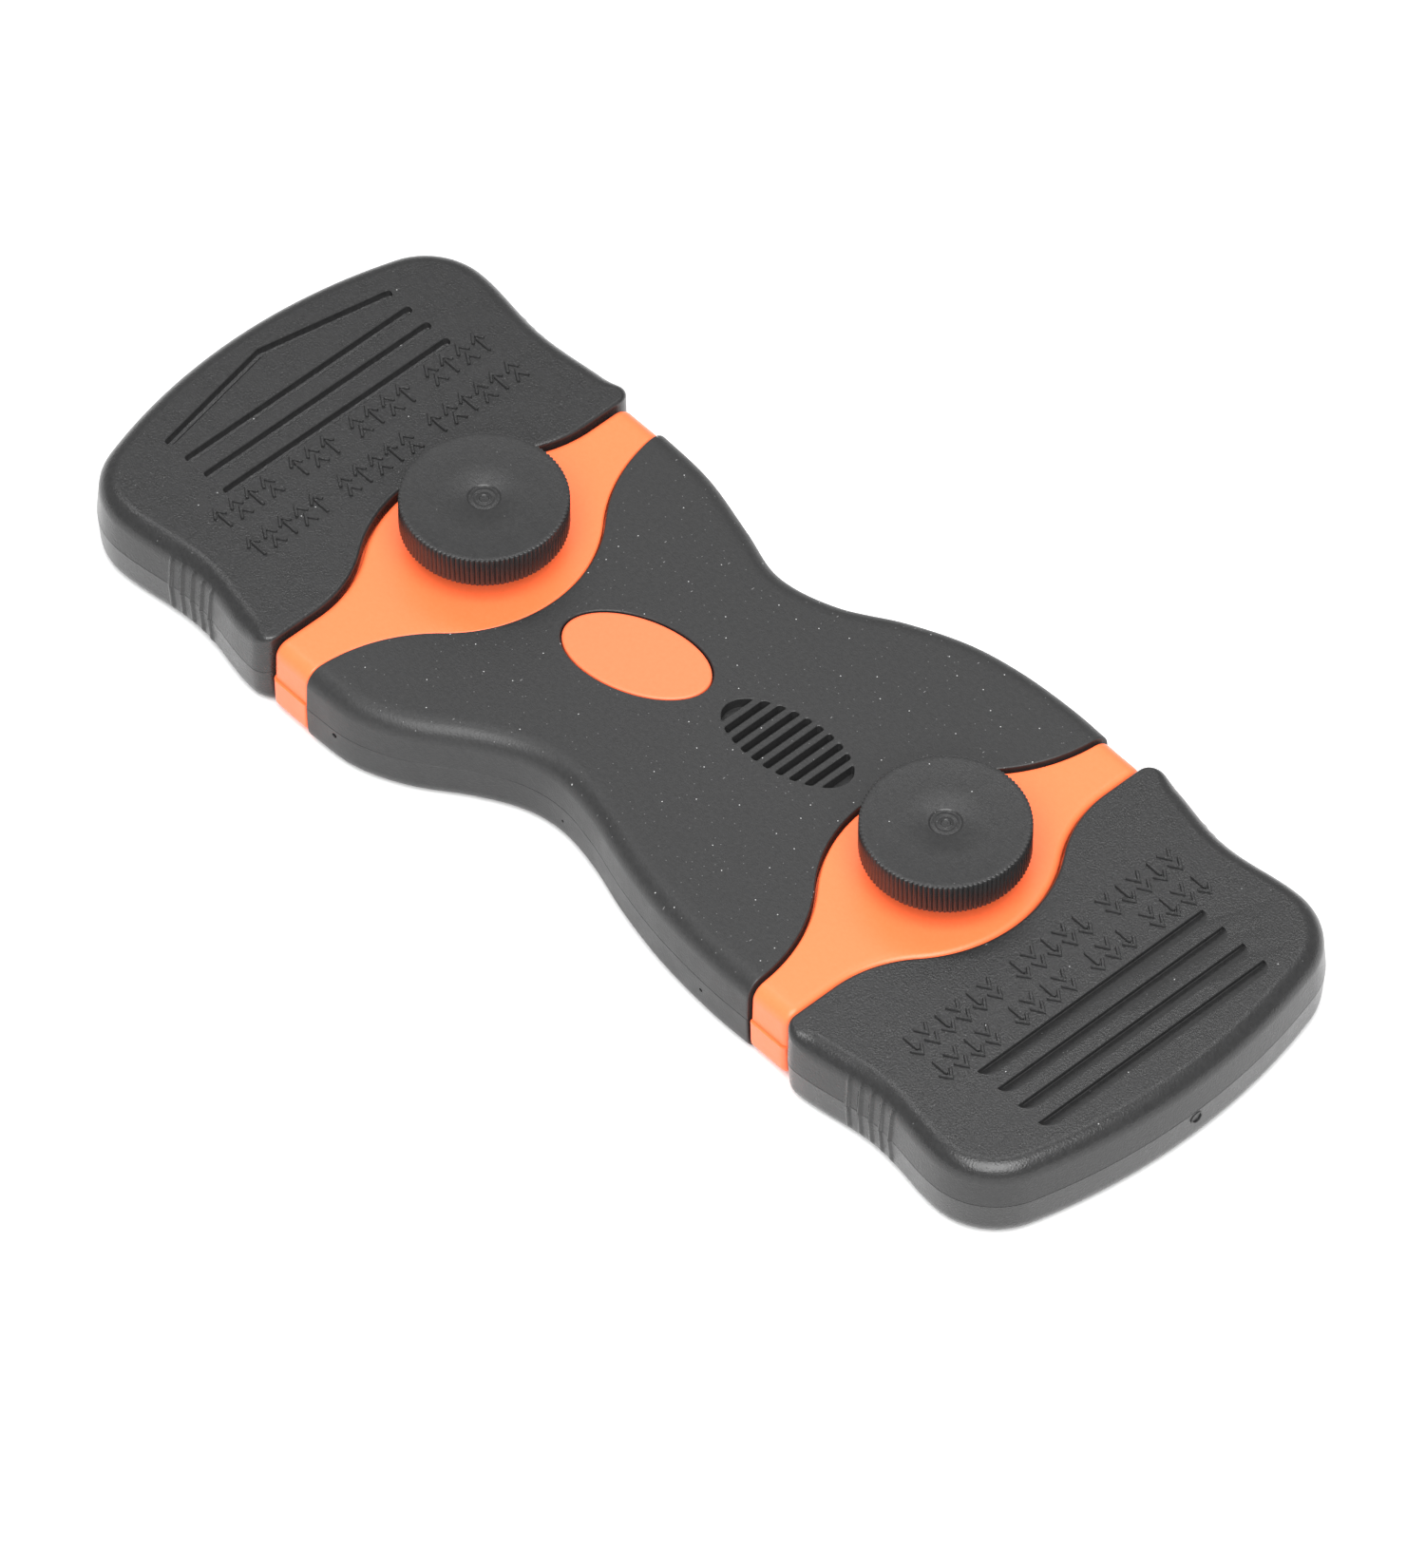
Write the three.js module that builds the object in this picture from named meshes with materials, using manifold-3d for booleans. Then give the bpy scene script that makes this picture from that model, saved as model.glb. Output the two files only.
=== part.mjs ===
// Double-ended blade scraper and deburring tool: a waisted two-shell handle, a clamped blade at
// each end, a thumb knob over each clamp and a pull-off guard cap over each blade.
// Millimetres, +Z up. X runs along the handle, the underside lies at Z = 0 and the origin is
// under the middle of the handle.
import * as THREE from 'three';
import { mergeVertices } from 'three/addons/utils/BufferGeometryUtils.js';
import Module from 'manifold-3d';

const wasm = await Module();
wasm.setup();

// ---- driving dimensions -------------------------------------------------------------------
const THICKNESS = 13;                 // handle and caps, underside to top
const MID = THICKNESS / 2;            // parting plane of the two handle halves
const GAP = 0.3;                      // clearance between neighbouring pieces
const EDGE_FILLET = 2.6;              // long outer edges
const SEAM_FILLET = 0.8;              // edges along the orange collars
const DRAFT_INSET = 0.25;             // how far a wall leans in by the time it meets its fillet

// Each end has its own deck, knob and cap centres, because the two halves of the handle are
// set off to opposite sides of the long axis.
const ENDS = [
  { name: 'left', out: -1, deck: [-39.8, -3.5], knob: [-39.8, -3.1], capY: -3.4,
    capLength: 48.9, farMouth: 31.5, nearMouth: 32.4, endRadius: 78, noseLength: 33.0,
    bladeLength: 40.5, bladePoint: 4.8, blade: 'pointed_blade', firstGroove: 28.5,
    chevron: [39.6, 43.4] },
  { name: 'right', out: 1, deck: [38.8, 3.2], knob: [39.4, 3.5], capY: 2.5,
    capLength: 47.2, farMouth: 32.4, nearMouth: 32.1, endRadius: 88, noseLength: 31.0,
    bladeLength: 38.4, bladePoint: 0, blade: 'straight_blade', firstGroove: 27.8,
    chevron: null },
];

// Handle outline: the far and near long edges, each a smooth curve through these points.
const FAR_EDGE = [[-60, 26.7], [-46, 26.8], [-36, 26.7], [-28, 26.0], [-19, 23.7], [-10.5, 21.5],
  [-2, 23.5], [6, 28.2], [14, 31.7], [22, 33.4], [31, 34.0], [40, 33.8], [60, 33.6]];
const NEAR_EDGE = [[-60, -35.1], [-46, -35.1], [-37, -35.1], [-30, -34.5], [-23, -31.5],
  [-16, -26.5], [-10, -23.3], [-4, -22.3], [3, -23.4], [11, -25.7], [20, -27.5], [30, -28.4],
  [40, -28.4], [60, -28.4]];

// Orange deck and collar of each end: a wide arc over the knob, eased into the collar band.
const DECK_APEX = 13.3;
const DECK_ARC = 20;
const OUTER_LINE = 5.3;
const OUTER_BLEND = 18;
const INNER_LINE = 1.2;
const INNER_BLEND = 24;
const DECK_REACH = 45;
const DECK_DROP = 0.6;                // deck lies this much below the black surfaces
const COLLAR_INSET = 0.4;

// Grip shells and the core beneath them.
const GRIP_WALL = 1.8;
const CORE_INSET = GRIP_WALL + GAP;
const POCKET = { halfX: 17, halfY: 15.5, ribHalf: 1.2, floor: 3.6 };
const SCREW_BOSS_R = 4.2;

// Guard caps.
const CAP_GAP = 0.4;                  // from the collar to the cap's inner edge
const CAP_HALF = 31.8;                // half width at the outer bulges; the mouth has its own
const CAP_WAIST = 30.5;               // half width at the finger waist
const CAP_WAIST_U = 21.5;
const CAP_INNER_WAVE = 13.5;
const CAP_CORNER = 10.5;
const CAP_INNER_CORNER = 2.6;
const CAP_WALL = 2.3;
const CAP_SKIN = 2;
const GROOVE_PITCH = 3.7;
const GROOVE_HALF = 19.35;
const GROOVE_WIDTH = 1.4;
const GROOVE_DEPTH = 0.8;
const GROOVE_Y = 0.4;

// Blade clamp.
const NOSE_HALF = 27.2;
const NOSE_BOTTOM = 2.6;
const NOSE_TOP = THICKNESS - NOSE_BOTTOM;
const BLADE_HALF = 24.2;
const BLADE_BOTTOM = 6.2;
const BLADE_THICK = 0.8;
const BLADE_TAIL = 7.5;               // length of blade behind the deck centre
const BLADE_SLOT_HALF = 3.6;
const BLADE_RETRACT = 5;
const CHANNEL_HALF = BLADE_HALF + GAP;
const CHANNEL_FLOOR = BLADE_BOTTOM - GAP;
const CHANNEL_ROOF = BLADE_BOTTOM + BLADE_THICK + GAP;
const PLATE = { halfU: 9, halfV: 13, thick: 1.2, bottom: 4.6 };
const NUT = { flats: 10, thick: 3.2, bottom: 1.2 };

// Knob, its bolt and washer.
const BOLT_R = 3;
const BOLT_TIP = 0.9;
const WASHER = { r: 7, thick: 1, bottom: THICKNESS - DECK_DROP + GAP };
const HEAD = { flats: 10, thick: 4, bottom: WASHER.bottom + WASHER.thick + GAP };
const KNOB_R = 11;
const KNOB_TOP = 21.4;
const KNOB_RIM = 5.1;
const KNOB_BOSS_R = 7.4;
const KNOB_CHAMFER = 0.4;

// Handle screws, driven up from the underside.
const SCREWS = [[-21, -21.5], [-20, 15.5], [20, -19], [22, 24]];
const SCREW = { headR: 2.7, headBottom: 2.4, headThick: 1.8, shankR: 1.5, tip: 10.2 };

// Top face details of the grip.
const BADGE = { x: -12.35, y: -1.8, half: [10.45, 6], tilt: 18.5, depth: 0.9 };
const VENT = {
  x: 11.35, y: 2.4, half: [10, 4.9], lean: 0.115, slots: 10, pitch: 1.95, width: 1.1, depth: 1.2,
};

// ---- colours ------------------------------------------------------------------------------
const finish = (color, roughness, metalness = 0) => () =>
  new THREE.MeshStandardMaterial({ color, roughness, metalness });
const blackPlastic = finish(0x3a3a3a, 0.62);
const orangePlastic = finish(0xff8a4a, 0.5);
const zincSteel = finish(0xb4b8bc, 0.35, 1);
const bladeSteel = finish(0xc9ccd0, 0.25, 1);

// ---- solids -------------------------------------------------------------------------------
function solid(geometry) {
  const bare = geometry.index ? geometry.toNonIndexed() : geometry;
  bare.deleteAttribute('normal');
  bare.deleteAttribute('uv');
  const merged = mergeVertices(bare, 1e-4);
  return new wasm.Manifold(new wasm.Mesh({
    numProp: 3,
    vertProperties: new Float32Array(merged.attributes.position.array),
    triVerts: new Uint32Array(merged.index.array),
  }));
}

function geometryOf(manifold) {
  const mesh = manifold.getMesh();
  const geometry = new THREE.BufferGeometry();
  geometry.setAttribute('position', new THREE.BufferAttribute(mesh.vertProperties, 3));
  geometry.setIndex(new THREE.BufferAttribute(mesh.triVerts, 1));
  geometry.computeVertexNormals();
  return geometry;
}

function counterClockwise(points) {
  const vectors = points.map(([x, y]) => new THREE.Vector2(x, y));
  return THREE.ShapeUtils.isClockWise(vectors) ? vectors.reverse() : vectors;
}

function prism(points, z0, z1) {
  const shape = new THREE.Shape(counterClockwise(points));
  const geometry = new THREE.ExtrudeGeometry(shape, { depth: z1 - z0, bevelEnabled: false });
  return solid(geometry.translate(0, 0, z0));
}

function block(x0, x1, y0, y1, z0, z1) {
  const geometry = new THREE.BoxGeometry(Math.abs(x1 - x0), y1 - y0, z1 - z0);
  return solid(geometry.translate((x0 + x1) / 2, (y0 + y1) / 2, (z0 + z1) / 2));
}

function rod([x, y], z0, z1, radius, sides = 32) {
  const geometry = new THREE.CylinderGeometry(radius, radius, z1 - z0, sides);
  return solid(geometry.rotateX(Math.PI / 2).translate(x, y, (z0 + z1) / 2));
}

const hexRod = (centre, z0, z1, flats) => rod(centre, z0, z1, flats / Math.sqrt(3), 6);

// Unit directions pointing inwards from each corner of a counter-clockwise outline, lengthened
// so that moving every corner by d moves every side by d.
function inwards(ring) {
  return ring.map((point, i) => {
    const before = ring[(i + ring.length - 1) % ring.length];
    const after = ring[(i + 1) % ring.length];
    const a = new THREE.Vector2().subVectors(point, before).normalize();
    const b = new THREE.Vector2().subVectors(after, point).normalize();
    const mitre = new THREE.Vector2(-a.y - b.y, a.x + b.x).normalize();
    return mitre.divideScalar(Math.max(0.5, mitre.x * -a.y + mitre.y * a.x));
  });
}

function inset(points, distance) {
  const ring = counterClockwise(points);
  const inner = inwards(ring);
  return ring.map((p, i) => [p.x + inner[i].x * distance, p.y + inner[i].y * distance]);
}

// A slab with rounded edges and drafted walls, as a stack of inset copies of its outline.
function slab(points, z0, z1, filletAt, draft = DRAFT_INSET) {
  const ring = counterClockwise(points);
  const inner = inwards(ring);
  const count = ring.length;
  const steps = [0, Math.PI / 4, Math.PI / 2];
  const layers = [];
  for (const t of steps) layers.push([-1, 1 - Math.sin(t), 1 - Math.cos(t)]);
  layers.push([0, 0, 0]);
  for (const t of steps.toReversed()) layers.push([1, 1 - Math.sin(t), 1 - Math.cos(t)]);
  const positions = [];
  for (const [half, insetShare, rise] of layers) {
    ring.forEach((p, i) => {
      const fillet = filletAt(p);
      const move = half === 0 ? 0 : draft + insetShare * fillet;
      const z = [z0 + rise * fillet, (z0 + z1) / 2, z1 - rise * fillet][half + 1];
      positions.push(p.x + inner[i].x * move, p.y + inner[i].y * move, z);
    });
  }
  const index = [];
  for (let layer = 0; layer < layers.length - 1; layer += 1) {
    for (let i = 0; i < count; i += 1) {
      const a = layer * count + i;
      const b = layer * count + ((i + 1) % count);
      index.push(a, b, b + count, a, b + count, a + count);
    }
  }
  const lid = THREE.ShapeUtils.triangulateShape(ring, []);
  const top = (layers.length - 1) * count;
  for (const [a, b, c] of lid) {
    index.push(a, c, b);
    index.push(top + a, top + b, top + c);
  }
  const geometry = new THREE.BufferGeometry();
  geometry.setAttribute('position', new THREE.Float32BufferAttribute(positions, 3));
  geometry.setIndex(index);
  return solid(geometry);
}

function arc([x, y], radius, from, to, steps) {
  return Array.from({ length: steps + 1 }, (_, i) => {
    const t = from + (to - from) * i / steps;
    return [x + radius * Math.cos(t), y + radius * Math.sin(t)];
  });
}

function smooth(points, steps) {
  const curve = new THREE.SplineCurve(points.map(([x, y]) => new THREE.Vector2(x, y)));
  return curve.getPoints(steps).map((p) => [p.x, p.y]);
}

const union = (pieces) => pieces.reduce((a, b) => a.add(b));
const without = (piece, cuts) => cuts.reduce((a, b) => a.subtract(b), piece);

// ---- plan outlines ------------------------------------------------------------------------
// Half of a deck edge for v >= 0, from the apex outwards, with u measured from the deck centre.
function deckEdgeHalf(lineU, blend, gap) {
  const arcU = DECK_APEX - DECK_ARC;
  const blendU = lineU + blend;
  const blendV = Math.sqrt((DECK_ARC + blend) ** 2 - (blendU - arcU) ** 2);
  const turn = Math.atan2(blendV, blendU - arcU);
  return [
    ...arc([arcU, 0], DECK_ARC + gap, 0, turn, 6),
    ...arc([blendU, blendV], blend - gap, Math.PI + turn, Math.PI, 6).slice(1),
  ];
}

const mirrored = (half) => half.slice(1).reverse().map(([u, v]) => [u, -v]);

function deckEdge(lineU, blend, gap) {
  const half = [...deckEdgeHalf(lineU, blend, gap), [lineU + gap, DECK_REACH]];
  return [...mirrored(half), ...half];
}

const place = (end, points, y = end.deck[1]) =>
  points.map(([u, v]) => [end.deck[0] + end.out * u, y + v]);

function deckPlan(end) {
  const outer = place(end, deckEdge(OUTER_LINE, OUTER_BLEND, 0));
  const inner = place(end, deckEdge(INNER_LINE, INNER_BLEND, 0).map(([u, v]) => [-u, v]));
  return [...outer, ...inner.reverse()];
}

function gripPlan() {
  const [left, right] = ENDS.map((end) =>
    place(end, deckEdge(INNER_LINE, INNER_BLEND, GAP).map(([u, v]) => [-u, v])));
  return [...left, ...right.reverse()];
}

const handleOutline = [...smooth(FAR_EDGE, 39), ...smooth(NEAR_EDGE, 39).reverse()];

// The mouth follows the deck edge, whose centre lies a little to one side of the cap's own.
function capOutline(end) {
  const mouthShift = end.deck[1] - end.capY;
  const edgeU = OUTER_LINE + CAP_GAP;
  const endCentre = end.capLength - end.endRadius;
  const cornerV = CAP_HALF - CAP_CORNER;
  const cornerU = endCentre + Math.sqrt((end.endRadius - CAP_CORNER) ** 2 - cornerV ** 2);
  const join = Math.atan2(cornerV, cornerU - endCentre);
  const firstU = edgeU + CAP_INNER_CORNER;
  const half = (mouth, shift) => {
    const sideV = (u) => {
      const wave = u > CAP_WAIST_U ? cornerU - CAP_WAIST_U : CAP_INNER_WAVE;
      const share = (1 - Math.cos(Math.PI * (u - CAP_WAIST_U) / wave)) / 2;
      return CAP_WAIST + ((u > CAP_WAIST_U ? CAP_HALF : mouth) - CAP_WAIST) * share;
    };
    const firstV = sideV(firstU) - CAP_INNER_CORNER;
    const side = Array.from({ length: 12 }, (_, i) => {
      const u = firstU + (cornerU - firstU) * (i + 1) / 12;
      return [u, sideV(u)];
    });
    return [
      ...deckEdgeHalf(OUTER_LINE, OUTER_BLEND, CAP_GAP).map(([u, v]) => [u, v + shift]),
      ...arc([firstU, firstV], CAP_INNER_CORNER, Math.PI, Math.PI / 2, 4),
      ...side,
      ...arc([cornerU, cornerV], CAP_CORNER, Math.PI / 2, join, 6).slice(1),
      ...arc([endCentre, 0], end.endRadius, join, 0, 6).slice(1),
    ];
  };
  const near = half(end.nearMouth, -mouthShift).slice(1, -1).reverse().map(([u, v]) => [u, -v]);
  return [...half(end.farMouth, mouthShift), ...near];
}

// A groove with round ends from one plan point to another, cut down from height z1 to z0.
function groove([ax, ay], [bx, by], width, z0, z1) {
  const heading = Math.atan2(by - ay, bx - ax);
  const r = width / 2;
  return prism([
    ...arc([bx, by], r, heading - Math.PI / 2, heading + Math.PI / 2, 4),
    ...arc([ax, ay], r, heading + Math.PI / 2, heading + Math.PI * 1.5, 4),
  ], z0, z1);
}

function oval({ x, y, half, tilt = 0 }, grow, steps = 40) {
  const turn = THREE.MathUtils.degToRad(tilt);
  return arc([0, 0], 1, 0, 2 * Math.PI * (1 - 1 / steps), steps - 1).map(([c, s]) => {
    const a = (half[0] + grow) * c;
    const b = (half[1] + grow) * s;
    return [x + a * Math.cos(turn) - b * Math.sin(turn), y + a * Math.sin(turn) + b * Math.cos(turn)];
  });
}

// ---- handle -------------------------------------------------------------------------------
const longFillet = () => EDGE_FILLET;
const handleBlank = slab(handleOutline, 0, THICKNESS, longFillet);
const collarBlank = slab(inset(handleOutline, COLLAR_INSET), DECK_DROP, THICKNESS - DECK_DROP,
  () => EDGE_FILLET - COLLAR_INSET);
const gripCavity = prism(inset(handleOutline, GRIP_WALL), GRIP_WALL, THICKNESS - GRIP_WALL);
const coreBlank = prism(inset(handleOutline, CORE_INSET), CORE_INSET, THICKNESS - CORE_INSET);

// The space from z0 to z1 on one end, across the blade, from u0 to u1.
const across = (end, u0, u1, halfV, z0, z1, y = end.deck[1]) =>
  block(end.deck[0] + end.out * u0, end.deck[0] + end.out * u1, y - halfV, y + halfV, z0, z1);

function coreHalf(z0, z1) {
  const layer = block(-100, 100, -60, 60, z0, z1);
  const decks = ENDS.map((end) => collarBlank.intersect(prism(deckPlan(end), z0, z1)));
  const between = block(ENDS[0].deck[0], ENDS[1].deck[0], -60, 60, z0, z1);
  const noses = ENDS.map((end) =>
    across(end, 0, end.noseLength, NOSE_HALF, Math.max(z0, NOSE_BOTTOM), Math.min(z1, NOSE_TOP), end.capY));
  return union([coreBlank.intersect(between).intersect(layer), ...decks, ...noses]);
}

// Hollow between the two blade channels, with a rib across the middle.
function corePockets(z0, z1) {
  return [-1, 1].map((side) => {
    const bay = block(side * POCKET.ribHalf, side * POCKET.halfX, -POCKET.halfY, POCKET.halfY, z0, z1);
    return without(bay, SCREWS.map((at) => rod(at, z0, z1, SCREW_BOSS_R)));
  });
}

const channel = (end, z0, z1) =>
  across(end, -BLADE_TAIL - BLADE_RETRACT - GAP, end.noseLength + 20, CHANNEL_HALF, z0, z1, end.capY);

function upperCore() {
  return without(coreHalf(MID + GAP / 2, THICKNESS), [
    ...corePockets(MID, THICKNESS - POCKET.floor),
    ...ENDS.map((end) => channel(end, MID, CHANNEL_ROOF)),
    ...ENDS.map((end) => rod(end.knob, MID, THICKNESS, BOLT_R + GAP)),
    ...SCREWS.map((at) => rod(at, MID, SCREW.tip + GAP, SCREW.shankR + GAP, 16)),
  ]);
}

function lowerCore() {
  const wells = ENDS.flatMap((end) => [
    channel(end, CHANNEL_FLOOR, MID + 1),
    block(end.knob[0] - PLATE.halfU - GAP, end.knob[0] + PLATE.halfU + GAP,
      end.knob[1] - PLATE.halfV - GAP, end.knob[1] + PLATE.halfV + GAP, PLATE.bottom - GAP, MID),
    hexRod(end.knob, NUT.bottom - GAP, MID, NUT.flats + 2 * GAP),
    rod(end.knob, 0, MID, BOLT_R + 2 * GAP),
  ]);
  return without(coreHalf(0, MID - GAP / 2), [
    ...corePockets(POCKET.floor, MID),
    ...wells,
    ...SCREWS.flatMap((at) => [
      rod(at, 0, SCREW.headBottom + SCREW.headThick + GAP, SCREW.headR + GAP, 24),
      rod(at, 0, MID, SCREW.shankR + GAP, 16),
    ]),
  ]);
}

function upperGrip() {
  const blank = handleBlank.intersect(prism(gripPlan(), MID + GAP / 2, THICKNESS + 1));
  const slots = Array.from({ length: VENT.slots }, (_, i) => {
    const offset = (i - (VENT.slots - 1) / 2) * VENT.pitch;
    const reach = VENT.half[1] * Math.sqrt(1 - (offset / VENT.half[0]) ** 2) - VENT.width / 2;
    const x = VENT.x + offset;
    const y = VENT.y + offset * VENT.lean;
    return groove([x, y - reach], [x, y + reach], VENT.width, THICKNESS - VENT.depth, THICKNESS + 1);
  });
  return without(blank, [
    gripCavity,
    prism(oval(BADGE, GAP), THICKNESS - BADGE.depth - GAP, THICKNESS + 1),
    ...slots,
  ]);
}

function lowerGrip() {
  const blank = handleBlank.intersect(prism(gripPlan(), -1, MID - GAP / 2));
  return without(blank, [gripCavity, ...SCREWS.map((at) => rod(at, -1, 3, SCREW.headR + GAP, 24))]);
}

// ---- guard caps ---------------------------------------------------------------------------
function cap(end) {
  const outline = place(end, capOutline(end), end.capY);
  const inLength = (x) => end.out * (x - end.deck[0]);
  const filletAt = (p) => {
    const pastEdge = inLength(p.x) - OUTER_LINE - CAP_GAP;
    const onSide = Math.abs(p.y - end.capY) > CAP_WAIST - CAP_INNER_CORNER;
    const share = onSide ? Math.min(1, Math.max(0, pastEdge / (2.5 * CAP_INNER_CORNER))) : 0;
    return inLength(p.x) > CAP_WAIST_U ? EDGE_FILLET : SEAM_FILLET + (EDGE_FILLET - SEAM_FILLET) * share;
  };
  const body = slab(outline, 0, THICKNESS, filletAt);
  const hollow = prism(inset(outline, CAP_WALL), CAP_SKIN, THICKNESS - CAP_SKIN);
  const mouth = across(end, 0, CAP_WAIST_U, CAP_WAIST - CAP_WALL, CAP_SKIN, THICKNESS - CAP_SKIN, end.capY);
  const z0 = THICKNESS - GROOVE_DEPTH;
  const z1 = THICKNESS + 1;
  const at = (u, v) => place(end, [[u, v]], end.capY + GROOVE_Y)[0];
  const straight = end.chevron ? 3 : 4;
  const grooves = Array.from({ length: straight }, (_, i) => {
    const u = end.firstGroove + i * GROOVE_PITCH;
    return groove(at(u, -GROOVE_HALF), at(u, GROOVE_HALF), GROOVE_WIDTH, z0, z1);
  });
  if (end.chevron) {
    const [endsU, apexU] = end.chevron;
    for (const v of [-GROOVE_HALF, GROOVE_HALF]) {
      grooves.push(groove(at(endsU, v), at(apexU, 0), GROOVE_WIDTH, z0, z1));
    }
  }
  return without(body, [hollow, mouth, ...grooves]);
}

// ---- blade clamp --------------------------------------------------------------------------
function blade(end) {
  const at = (u, v) => place(end, [[u, v]], end.capY)[0];
  const tip = end.bladePoint ? [at(end.bladeLength + end.bladePoint, 0)] : [];
  const plan = [at(-BLADE_TAIL, -BLADE_HALF), at(end.bladeLength, -BLADE_HALF), ...tip,
    at(end.bladeLength, BLADE_HALF), at(-BLADE_TAIL, BLADE_HALF)];
  const z0 = BLADE_BOTTOM;
  const z1 = BLADE_BOTTOM + BLADE_THICK;
  const [x, y] = end.knob;
  const slot = groove([x, y], [x + end.out * (BLADE_RETRACT + 2), y], 2 * BLADE_SLOT_HALF, z0 - 1, z1 + 1);
  return prism(plan, z0, z1).subtract(slot);
}

function clampPlate(end) {
  const [x, y] = end.knob;
  const plate = block(x - PLATE.halfU, x + PLATE.halfU, y - PLATE.halfV, y + PLATE.halfV,
    PLATE.bottom, PLATE.bottom + PLATE.thick);
  return plate.subtract(rod(end.knob, 0, THICKNESS, BOLT_R + GAP));
}

function nut(end) {
  const body = hexRod(end.knob, NUT.bottom, NUT.bottom + NUT.thick - GAP, NUT.flats);
  return body.subtract(rod(end.knob, 0, THICKNESS, BOLT_R + GAP));
}

function washer(end) {
  const disc = rod(end.knob, WASHER.bottom, WASHER.bottom + WASHER.thick, WASHER.r, 40);
  return disc.subtract(rod(end.knob, 0, KNOB_TOP, BOLT_R + GAP));
}

function bolt(end) {
  return rod(end.knob, BOLT_TIP, HEAD.bottom + 1, BOLT_R)
    .add(hexRod(end.knob, HEAD.bottom, HEAD.bottom + HEAD.thick, HEAD.flats));
}

function knob(end) {
  const rimBottom = KNOB_TOP - KNOB_RIM;
  const profile = [[0, HEAD.bottom], [KNOB_BOSS_R, HEAD.bottom], [KNOB_BOSS_R, rimBottom],
    [KNOB_R - KNOB_CHAMFER, rimBottom], [KNOB_R, rimBottom + KNOB_CHAMFER],
    [KNOB_R, KNOB_TOP - KNOB_CHAMFER], [KNOB_R - KNOB_CHAMFER, KNOB_TOP], [0, KNOB_TOP]];
  const lathe = new THREE.LatheGeometry(profile.map(([r, z]) => new THREE.Vector2(r, z)), 64);
  lathe.rotateX(Math.PI / 2).translate(end.knob[0], end.knob[1], 0);
  const socket = hexRod(end.knob, 0, HEAD.bottom + HEAD.thick + GAP, HEAD.flats + 2 * GAP);
  return solid(lathe).subtract(socket);
}

function handleScrew(at) {
  const head = rod(at, SCREW.headBottom, SCREW.headBottom + SCREW.headThick, SCREW.headR, 24);
  const recess = [0, Math.PI / 2].map((turn) => {
    const bar = new THREE.BoxGeometry(2.6, 0.7, 2).rotateZ(turn);
    return solid(bar.translate(at[0], at[1], SCREW.headBottom));
  });
  return without(head, recess).add(rod(at, SCREW.headBottom + 1.4, SCREW.tip, SCREW.shankR, 16));
}

// ---- assembly -----------------------------------------------------------------------------
const tool = new THREE.Group();

function addPiece(name, manifold, material) {
  const mesh = new THREE.Mesh(geometryOf(manifold), material());
  mesh.name = name;
  tool.add(mesh);
}

addPiece('core_upper', upperCore(), orangePlastic);
addPiece('core_lower', lowerCore(), orangePlastic);
addPiece('grip_upper', upperGrip(), blackPlastic);
addPiece('grip_lower', lowerGrip(), blackPlastic);
addPiece('badge_plate', prism(oval(BADGE, 0), THICKNESS - BADGE.depth, THICKNESS - 0.05), orangePlastic);
SCREWS.forEach((at, i) => addPiece(`handle_screw_${i + 1}`, handleScrew(at), zincSteel));

for (const end of ENDS) {
  addPiece(`${end.name}_cap`, cap(end), blackPlastic);
  addPiece(end.blade, blade(end), bladeSteel);
  addPiece(`${end.name}_clamp_plate`, clampPlate(end), zincSteel);
  addPiece(`${end.name}_clamp_nut`, nut(end), zincSteel);
  addPiece(`${end.name}_washer`, washer(end), zincSteel);
  addPiece(`${end.name}_knob_bolt`, bolt(end), zincSteel);
  addPiece(`${end.name}_knob`, knob(end), blackPlastic);
}

export default tool;
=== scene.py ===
import math

import bmesh
import bpy
import numpy as np
from mathutils import Matrix, Vector


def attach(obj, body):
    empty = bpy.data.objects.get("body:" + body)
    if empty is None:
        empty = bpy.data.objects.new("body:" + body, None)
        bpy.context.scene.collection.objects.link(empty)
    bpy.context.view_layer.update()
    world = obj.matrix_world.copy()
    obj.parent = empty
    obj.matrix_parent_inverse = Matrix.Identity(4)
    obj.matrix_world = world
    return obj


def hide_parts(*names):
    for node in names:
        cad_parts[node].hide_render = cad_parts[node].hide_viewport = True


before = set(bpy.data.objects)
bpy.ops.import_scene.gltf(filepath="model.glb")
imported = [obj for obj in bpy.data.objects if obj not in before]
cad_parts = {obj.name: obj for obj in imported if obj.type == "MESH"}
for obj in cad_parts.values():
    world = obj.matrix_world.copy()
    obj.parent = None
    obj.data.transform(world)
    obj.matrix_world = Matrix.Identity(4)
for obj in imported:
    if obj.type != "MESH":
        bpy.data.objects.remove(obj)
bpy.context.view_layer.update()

# Every size below is in millimetres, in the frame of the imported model; meshes are made in metres.
MM = 0.001

# ---- sizes of the pieces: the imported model's, but for finer collars and vent slots ----
THICKNESS = 13.0
MID = THICKNESS / 2
GAP = 0.3
EDGE_FILLET = 2.6
GRIP_DRAFT = 0.1
CAP_DRAFT = 0.3

# Of each end, u runs outwards from the middle of its deck and v across it. Under "mouth" are the
# half widths of its cap's mouth to the far and the near side.
ENDS = [
    {"name": "left", "out": -1, "deck": (-39.8, -3.5), "knob": (-39.8, -3.1), "cap_y": -3.4,
     "cap_length": 48.9, "mouth": {1: 31.5, -1: 32.4}, "end_radius": 78.0, "nose_length": 33.0,
     "blade_length": 40.5, "blade_point": 4.8, "blade": "pointed_blade"},
    {"name": "right", "out": 1, "deck": (38.8, 3.2), "knob": (39.4, 3.5), "cap_y": 2.5,
     "cap_length": 47.2, "mouth": {1: 32.4, -1: 32.1}, "end_radius": 88.0, "nose_length": 31.0,
     "blade_length": 38.4, "blade_point": 0.0, "blade": "straight_blade"},
]
LEFT, RIGHT = ENDS

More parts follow.
